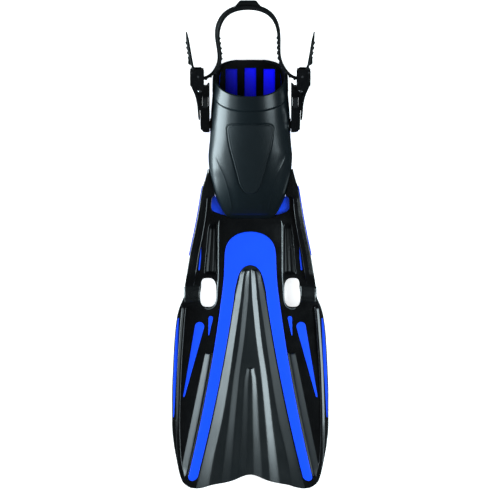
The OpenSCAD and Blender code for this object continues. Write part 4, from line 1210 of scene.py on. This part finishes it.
def blade_rail_ring(reach):
    """Section with a crisp inner edge and a sloping outer flank."""
    centre = float(BLADE_RAIL_X(min(reach, 258))) - max(0, reach - 258) * 0.25
    if reach > FLOOR_REACH:
        bottom = floor_z(reach)
    else:
        bottom = np.interp(reach, [17.5, 60, FLOOR_REACH], [-7.6, -9, floor_z(FLOOR_REACH)])
    bottom = float(bottom) + 0.05
    rise = float(smoothstep(reach, 17.5, 21))
    top = 1.5 + (float(BLADE_RAIL_TOP(reach)) - 1.5) * (0.2 + 0.8 * math.sqrt(rise))
    # towards the tail it flattens
    full = float(smoothstep(reach, 264, 250))
    bottom = -1.6 + (bottom + 1.6) * full
    top = 1.6 + (top - 1.6) * full
    return rail_ring(centre - BLADE_RAIL_HALF_WIDTH, centre + BLADE_RAIL_HALF_WIDTH,
                     bottom, top, radius=0.8, dish=0.2,
                     slope=min(1.2, 0.3 * max(top - 1.5, 0)), share=0.55)


for side, sign in SIDES:
    rings = [[(x * sign, -reach, z) for x, z in blade_rail_ring(reach)]
             for reach in chain(17.5, (30, 14), (235, 70), (264, 18))]
    register(make_object(f"blade_rail_{side}_skin", ring_solid(from_blade(rings)), FRAME, 42),
             "blade", "frame_rubber", f"blade_rail_{side}")


def flex_band_ring(x, sign):
    """Section of the soft roll at the pivot, outside each hole, with two grooves a face."""
    full = min((x - 71.4) / 2.6, (94.9 - x) / 3.4, 1.0)
    full = math.sqrt(max(1 - (1 - max(full, 0)) ** 2, 0.0))
    centre_y = -1.6 - (x - 84) * 0.10
    half_y, half_z = 12.4 * (0.8 + 0.2 * full), 4.4 * (0.3 + 0.7 * full)
    ring = []
    for k in range(40):
        turn = 2 * math.pi * k / 40
        out_y = half_y * math.copysign(abs(math.cos(turn)) ** 0.85, math.cos(turn))
        z = half_z * math.copysign(abs(math.sin(turn)) ** 0.95, math.sin(turn))
        if abs(z) > 1.0:
            grooves = bell(out_y - 7.2, 1.5) + bell(out_y + 7.2, 1.5)
            z -= math.copysign(0.55, z) * grooves * full
        ring.append((x * sign, centre_y + out_y, z))
    return ring


for side, sign in SIDES:
    rings = [flex_band_ring(x, sign) for x in chain(71.6, (74, 7), (91, 20), (94.6, 8))]
    register(make_object(f"flex_band_{side}_skin", ring_solid(from_blade(rings)), BAND, 45),
             "pivot", "band_rubber", f"flex_band_{side}")


# Blue inlays on the blade
def drop_loop(start, start_radius, end, end_radius):
    """Drop shape from a wide round end to a small one; both centres are (x, reach)."""
    heading = math.atan2(-(end[1] - start[1]), end[0] - start[0])
    loop = []
    for (x, reach), radius, turn, steps in ((start, start_radius, math.pi / 2, 22),
                                            (end, end_radius, -math.pi / 2, 10)):
        for k in range(steps + 1):
            angle = heading + turn + math.pi * k / steps
            loop.append((x + radius * math.cos(angle), -reach + radius * math.sin(angle)))
    return np.array(loop)


def edge_strip_loop():
    """Slim strip along the blade's outer edge, narrowing at both ends."""
    start, end = 36, 178
    reach = np.linspace(start, end, 44)
    share = (reach - start) / (end - start)
    width = 5.4 * np.sin(np.radians(10 + 160 * share)) ** 0.6 * (1 - 0.4 * share)
    outer_x = BLADE_EDGE_X(reach) - 1.6
    return np.vstack([np.stack([outer_x, -reach], 1),
                      np.stack([outer_x - width, -reach], 1)[::-1]])


INLAYS = (
    ("short_inlay", drop_loop((56.6, 36), 3.1, (59.4, 60), 0.6)),
    ("long_inlay", drop_loop((72.6, 48), 6.6, (95, 148), 1.2)),
    ("edge_strip", edge_strip_loop()),
)
for side, sign in SIDES:
    for name, loop in INLAYS:
        register(make_plate(f"{name}_{side}_skin", [loop * [sign, 1]], 0.4, 2.15, 0.35, BLUE,
                            segments=2),
                 "blade", "blue_plastic", f"{name}_{side}")

# Heel strap: its line runs from the back of the heel, through the right buckle, round the
# roller and back along the tail. Lengths along it are called "run".
BUCKLE_X = 58.0
ROLLER_X, ROLLER_Y = BUCKLE_X + 16, 70.4
ROLLER_RADIUS = 3.2
THIN = 2.2            # thickness of the strap where it passes the roller
BEND_RADIUS = ROLLER_RADIUS + 0.1 + THIN / 2
TAIL_X = ROLLER_X + BEND_RADIUS
STRAP_SHIFT = 3.4     # the soft band lies this far to the left
TOOTH_PITCH = 7.3
# y, distance of the tail outwards from TAIL_X
TAIL_SPREAD = pchip([[ROLLER_Y, 0], [76, 0.5], [81, 2.4], [87, 5.0], [100, 7.5], [132.5, 12.4]])

strap_line = list(catmull_rom([
    [0, 168.4], [13, 167.0], [25, 162.8], [34, 155.8], [40.2, 145.8], [43.2, 134.8],
    [43.8, 123], [43, 111], [42.6, 100], [44, 90], [48, 81], [54.4, 73], [62, 68],
    [ROLLER_X - 4, ROLLER_Y - BEND_RADIUS + 0.02]], 14))
strap_line += [(ROLLER_X + BEND_RADIUS * math.cos(turn), ROLLER_Y + BEND_RADIUS * math.sin(turn))
               for turn in np.radians(np.arange(-90, 1, 6))]
strap_line += [(TAIL_X + float(TAIL_SPREAD(y)), y) for y in np.arange(71.5, 132.6, 1.0)]
strap_line = np.array(strap_line)
moves = np.linalg.norm(np.diff(strap_line, axis=0), axis=1) > 1e-4
strap_line = strap_line[np.concatenate([[True], moves])]
STRAP_RUNS = arc_lengths(strap_line)
END = STRAP_RUNS[-1]
# run where the strap leaves the roller for its tail
EXIT = STRAP_RUNS[int(np.argmin(np.linalg.norm(strap_line - [TAIL_X, ROLLER_Y], axis=1)))]
FIRST_TOOTH = EXIT + 2.4 - 12 * TOOTH_PITCH

# run, thickness
STRAP_THICKNESS = pchip([
    [0, 6.2], [20, 5.4], [60, 3.9], [EXIT - 42, 3.5], [EXIT - 20, THIN], [EXIT + 8, THIN],
    [EXIT + 20, 3.6], [END - 14, 3.4], [END, 1.4]])
# run, half width
STRAP_HALF_WIDTH = pchip([
    [0, 13.4], [30, 13.2], [60, 13], [EXIT - 40, 12.9], [EXIT - 10, 12.6], [END - 22, 12.4],
    [END - 4, 11.0], [END, 8.6]])
# run, sideways lean of each half at z = LEAN_Z
LEAN_Z = 13.0
LEAN_LEFT = pchip([
    [0, 0], [22, 0.9], [60, 1.9], [95, 1.6], [EXIT - 30, 0.4], [EXIT - 10, 0], [EXIT + 6, 0],
    [EXIT + 22, 1.2], [END, 0.9]])
LEAN_RIGHT = pchip([
    [0, 0], [22, 0.5], [60, 0.5], [95, 0.2], [EXIT - 30, 0], [EXIT + 6, 0], [EXIT + 22, 0.9],
    [END, 0.7]])


def strap_point(run):
    return np.array([np.interp(run, STRAP_RUNS, strap_line[:, k]) for k in (0, 1)])


def tooth_height(run):
    if run < FIRST_TOOTH - 0.2 or run > END - 11:
        return 0.0
    place = (run - FIRST_TOOTH) % TOOTH_PITCH
    shape = np.interp(place, [0, 0.7, 1.1, 2.3, 2.7, 3.4, TOOTH_PITCH], [0, 0.92, 1, 1, 0.92, 0, 0])
    return 1.55 * float(shape)


def strap_section(run):
    """Ring of (offset towards the toothed face, z across the band)."""
    half = float(STRAP_THICKNESS(run)) / 2
    width = float(STRAP_HALF_WIDTH(run))
    radius = min(0.8, half * 0.8)
    shoulder = width - radius
    toothed = width - 2.4
    tooth_face = half + tooth_height(run)

    def corner(face, edge, angles):
        return [(face * (half - radius + radius * math.cos(math.radians(angle))),
                 edge * (shoulder + radius * math.sin(math.radians(angle)))) for angle in angles]

    ring = [(-half, z) for z in np.linspace(-shoulder, shoulder, 7)]
    ring += corner(-1, 1, (30, 60)) + [(0.0, width)] + corner(1, 1, (60, 30))
    ring += [(half, shoulder), (half, toothed + 0.5)]
    ring += [(tooth_face, toothed * share) for share in (1, 0.6, 0.2, -0.2, -0.6, -1)]
    ring += [(half, -toothed - 0.5), (half, -shoulder)]
    return ring + corner(1, -1, (30, 60)) + [(0.0, -width)] + corner(-1, -1, (60, 30))


def strap_solid():
    # the toothed part takes finer steps
    runs = [0.0]
    while runs[-1] < END - 0.3:
        runs.append(runs[-1] + (1.6 if runs[-1] < FIRST_TOOTH - 2 else 0.5))
    runs[-1] = END
    right = []
    for run in runs:
        x, y = strap_point(run)
        along = strap_point(min(run + 0.7, END)) - strap_point(max(run - 0.7, 0))
        if run < 0.7:
            along = np.array([1.0, 0.0])
        along /= np.linalg.norm(along)
        right.append([(x + along[1] * offset, y - along[0] * offset, z)
                      for offset, z in strap_section(run)])
    right = np.array(right)
    runs = np.array(runs)
    drift = (STRAP_SHIFT * smoothstep(right[..., 1], 76, 138)
             * smoothstep(runs, EXIT - 12, EXIT - 30)[:, None])
    left = right * [-1, 1, 1]
    left[..., 0] += LEAN_LEFT(runs)[:, None] * left[..., 2] / LEAN_Z - drift
    right[..., 0] -= LEAN_RIGHT(runs)[:, None] * right[..., 2] / LEAN_Z + drift
    return ring_solid(from_strap(np.concatenate([left[::-1], right[1:]], 0)))


register(make_object("heel_strap_band", strap_solid(), STRAP, 40),
         "strap", "strap_rubber", "heel_strap")

# Pull tab at the back of the strap. x, y
tab_loop = catmull_rom([
    [-23.5, 165.2], [-19, 168.6], [-14.6, 173.4], [-12.2, 176.2], [-9, 177.2], [0, 177.3],
    [9, 177.2], [12.2, 176.2], [14.6, 173.4], [19, 168.6], [23.5, 165.2]], 5)
tab_loop = np.vstack([tab_loop, [[12, 166.0], [0, 167.2], [-12, 166.0]]]) - [STRAP_SHIFT, 0]
register(make_plate("pull_tab", [tab_loop], -9.6, 9.6, 1.2, STRAP, to_row=from_strap,
                    segments=4),
         "strap", "strap_rubber")

# Stops on the strap's tails. x from the tail's start, y
STOP_LOOP = catmull_rom(np.array([
    [4.6, 86.4], [7.6, 86.8], [9.6, 87.8], [10.2, 90.0], [10.0, 96.0], [9.6, 103.0],
    [9.4, 108.0], [8.0, 104.0], [6.4, 95.0], [4.6, 86.4]]) + [TAIL_X, 0], 5)[:-1]
for side, sign in SIDES:
    register(make_plate(f"tail_stop_{side}", [STOP_LOOP * [sign, 1]], -10.5, 10.5, 0.7, STRAP,
                        to_row=from_strap),
             "strap", "strap_rubber")

# CAD nodes that stay: start of the name, material, bevel width
KEPT_NODES = (
    ("footbed", BED, 0.5), ("chassis", BLUE, 0.6), ("sole_tread", TREAD, 0.7),
    ("rail_strip", BLUE, 0.3), ("rail_inlay", BLUE, 0.25), ("stud", BUCKLE, 0.5),
    ("buckle_clip", BUCKLE, 0.9), ("buckle_receiver", BUCKLE, 0.7),
    ("strap_roller", ROLLER, 0.3), ("roller_pin", STEEL, 0.3), ("lever_pin", STEEL, 0.2),
    ("pawl_lever", LEVER, 0.6), ("lever_spring", STEEL, 0.0), ("release_tab", TAB, 0.35),
    ("clip_pin", STEEL, 0.3), ("receiver_pin", STEEL, 0.3),
)


def add_bevel(ob, width):
    bevel = ob.modifiers.new("edge", "BEVEL")
    bevel.width = width * TO_M
    bevel.segments = 3
    bevel.limit_method = "ANGLE"
    bevel.angle_limit = math.radians(28)


for name, ob in NODES.items():
    for prefix, mat, bevel_width in KEPT_NODES:
        if name.startswith(prefix):
            ob.data.materials.clear()
            ob.data.materials.append(mat)
            if not ob.hide_render:
                if bevel_width:
                    add_bevel(ob, bevel_width)
                smooth_by_angle(ob.data, 35)
            break

# A dark plate and its root under the gap between each buckle's sleeve and lever, a sheet of
# painted shade so that no floor shows through; the lever turns above it. name, (x from BUCKLE_X, y)
# loop, bottom, top, bevel
DARK_GAP_PLATES = (
    ("lip", [(11.6, 19.2), (14.2, 19.2), (16.6, 42.4), (19.0, 46.4), (13.6, 46.4)],
     -13.95, -13.1, 0.2),
    ("lip_root", [(11.6, 19.2), (13.0, 19.2), (14.9, 45.6), (13.6, 45.6)], -13.3, -12.3, 0.1),
)
for side, sign in reversed(SIDES):
    for name, loop, bottom, top, bevel in DARK_GAP_PLATES:
        loop = side_loop(np.array(loop) + [BUCKLE_X, 0.0], sign)
        lip = make_plate(f"buckle_{name}_{side}", [loop], bottom, top, bevel, BUCKLE,
                         to_row=from_strap, segments=2)
        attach(lip, f"buckle_{side}")

# Deep blue windows in the footbed's three slots, round at the toe end, with painted shade and a
# painted glow from their material
WINDOW_PITCH = 27.0
WINDOW_HALF_WIDTH = 7.7
WINDOW_ROUND_Y = -55
for k, name in ((-1, "left"), (0, "middle"), (1, "right")):
    x = WINDOW_PITCH * k
    half = WINDOW_HALF_WIDTH
    heel_end = 89 - abs(k) * 1.5
    loop = [(x + half * math.cos(turn), WINDOW_ROUND_Y + half * math.sin(turn))
            for turn in np.radians(np.linspace(180, 360, 13))]
    loop += [(x + half, heel_end - 1.2), (x + half - 0.8, heel_end - 0.4),
             (x - half + 0.8, heel_end - 0.4), (x - half, heel_end - 1.2)]
    # drawn in the row frame itself
    register(make_plate(f"footbed_window_{name}", [loop], BED_Z - 0.2, BED_Z + 2.6, 0.5,
                        DEEP_BLUE_PAINTED_LIGHT, to_row=np.asarray),
             "foot_section", "blue_plastic")


# Floor, lights and camera, in metres
def floor_material():
    mat = bpy.data.materials.new("floor")
    mat.use_nodes = True
    tree = mat.node_tree
    shader = tree.nodes["Principled BSDF"]
    shader.inputs["Roughness"].default_value = 0.9
    shader.inputs["Specular IOR Level"].default_value = 0.1
    patches = noise(tree, None, scale=6.0, detail=4.0, roughness=0.5)
    grey = remap(tree, patches, from_range=(0, 1), to_range=(0.80, 0.84))
    tree.links.new(grey, shader.inputs["Base Color"])
    shader.inputs["Emission Color"].default_value = (1, 1, 1, 1)
    shader.inputs["Emission Strength"].default_value = 0.62
    return mat


FLOOR_HALF, FLOOR_Z = 4, -0.0005
mesh = bpy.data.meshes.new("floor")
mesh.from_pydata([(x * FLOOR_HALF, y * FLOOR_HALF, FLOOR_Z)
                  for x, y in ((-1, -1), (1, -1), (1, 1), (-1, 1))], [], [(0, 1, 2, 3)])
floor = bpy.data.objects.new("floor", mesh)
mesh.materials.append(floor_material())
bpy.context.scene.collection.objects.link(floor)
floor.visible_glossy = False   # its white mirror image would flood the dark flanks
floor.visible_shadow = False   # left_box_pocket reaches below the floor, to light the flank's foot


def area_light(name, place, aim, size, power, colour=(1, 1, 1), glossy=True):
    """Rectangular light; with glossy off it leaves no mirror image in shiny faces."""
    light = bpy.data.lights.new(name, "AREA")
    light.shape = "RECTANGLE"
    light.size, light.size_y = size
    light.energy = power
    light.color = colour
    ob = bpy.data.objects.new(name, light)
    bpy.context.scene.collection.objects.link(ob)
    ob.location = place
    ob.rotation_mode = "QUATERNION"
    ob.rotation_quaternion = (Vector(aim) - Vector(place)).to_track_quat("-Z", "Y")
    ob.visible_glossy = glossy
    return ob


COOL = (0.78, 0.94, 1.0)
BLADE_AIM = (0, -0.40, 0.02)
MIDDLE_AIM = (0, -0.165, 0)
area_light("left_box_pocket", place=(-1.3, 0.02, 0.08), aim=(0, 0.02, 0.08), size=(0.9, 1.1),
           power=58, colour=COOL)
pocket_key = area_light("right_box_pocket", place=(1.10, 0.0, 0.86), aim=(0, 0.0, 0.04),
                        size=(0.55, 0.7), power=11, colour=COOL)
blade_key = area_light("right_box_blade", place=(1.15, -0.42, 0.98), aim=BLADE_AIM,
                       size=(0.9, 1.1), power=34, colour=COOL)
area_light("left_box_blade", place=(-1.15, -0.45, 0.95), aim=BLADE_AIM, size=(0.9, 0.9),
           power=5, colour=COOL)
area_light("front_fill", place=(0, -1.9, 1.3), aim=MIDDLE_AIM, size=(1.8, 1.0), power=5,
           glossy=False)
area_light("back_fill", place=(0, 1.6, 1.4), aim=MIDDLE_AIM, size=(1.8, 1.0), power=5,
           glossy=False)
area_light("top_fill", place=(-0.5, -0.2, 2.4), aim=MIDDLE_AIM, size=(1.6, 1.6), power=18,
           glossy=False)

# The pocket's right flank stays dark: the blade's key spares the pocket, which has its own key
spared = bpy.data.collections.new("spared_by_blade_key")
lit = bpy.data.collections.new("lit_by_pocket_key")
for ob in bpy.context.scene.objects:
    if ob.type == "MESH" and any(
            mat and mat.name.split(".")[0] in ("pocket_rubber", "panel_rubber")
            for mat in ob.data.materials):
        spared.objects.link(ob)
        lit.objects.link(ob)
for member in spared.collection_objects:
    member.light_linking.link_state = "EXCLUDE"
blade_key.light_linking.receiver_collection = spared
pocket_key.light_linking.receiver_collection = lit

# World: an even fill for diffuse light, a darker ceiling in reflections
world = bpy.data.worlds.new("studio")
bpy.context.scene.world = world
world.use_nodes = True
background = world.node_tree.nodes["Background"]
background.inputs[0].default_value = (1, 1, 1, 1)
light_path = world.node_tree.nodes.new("ShaderNodeLightPath")
strength = remap(world.node_tree, light_path.outputs["Is Glossy Ray"],
                 from_range=(0, 1), to_range=(0.06, 0.02))
world.node_tree.links.new(strength, background.inputs[1])

# The camera looks straight down, with the heel at the top of the picture
LENS_MM, SENSOR_MM = 400, 36
VIEW_WIDTH = 0.715               # width of the view at VIEW_Z
VIEW_Z = 0.020
VIEW_X, VIEW_Y = -0.000429, -0.1716
camera_data = bpy.data.cameras.new("camera")
camera_data.lens = LENS_MM
camera_data.sensor_width = SENSOR_MM
camera_data.clip_start, camera_data.clip_end = 0.05, 20
camera = bpy.data.objects.new("camera", camera_data)
bpy.context.scene.collection.objects.link(camera)
bpy.context.scene.camera = camera
camera.location = (VIEW_X, VIEW_Y, VIEW_Z + VIEW_WIDTH * LENS_MM / SENSOR_MM)
camera.rotation_euler = (0, 0, 0)

view = bpy.context.scene.view_settings
view.view_transform = "Standard"
view.look = "None"
view.exposure = 0.0
view.gamma = 1.0
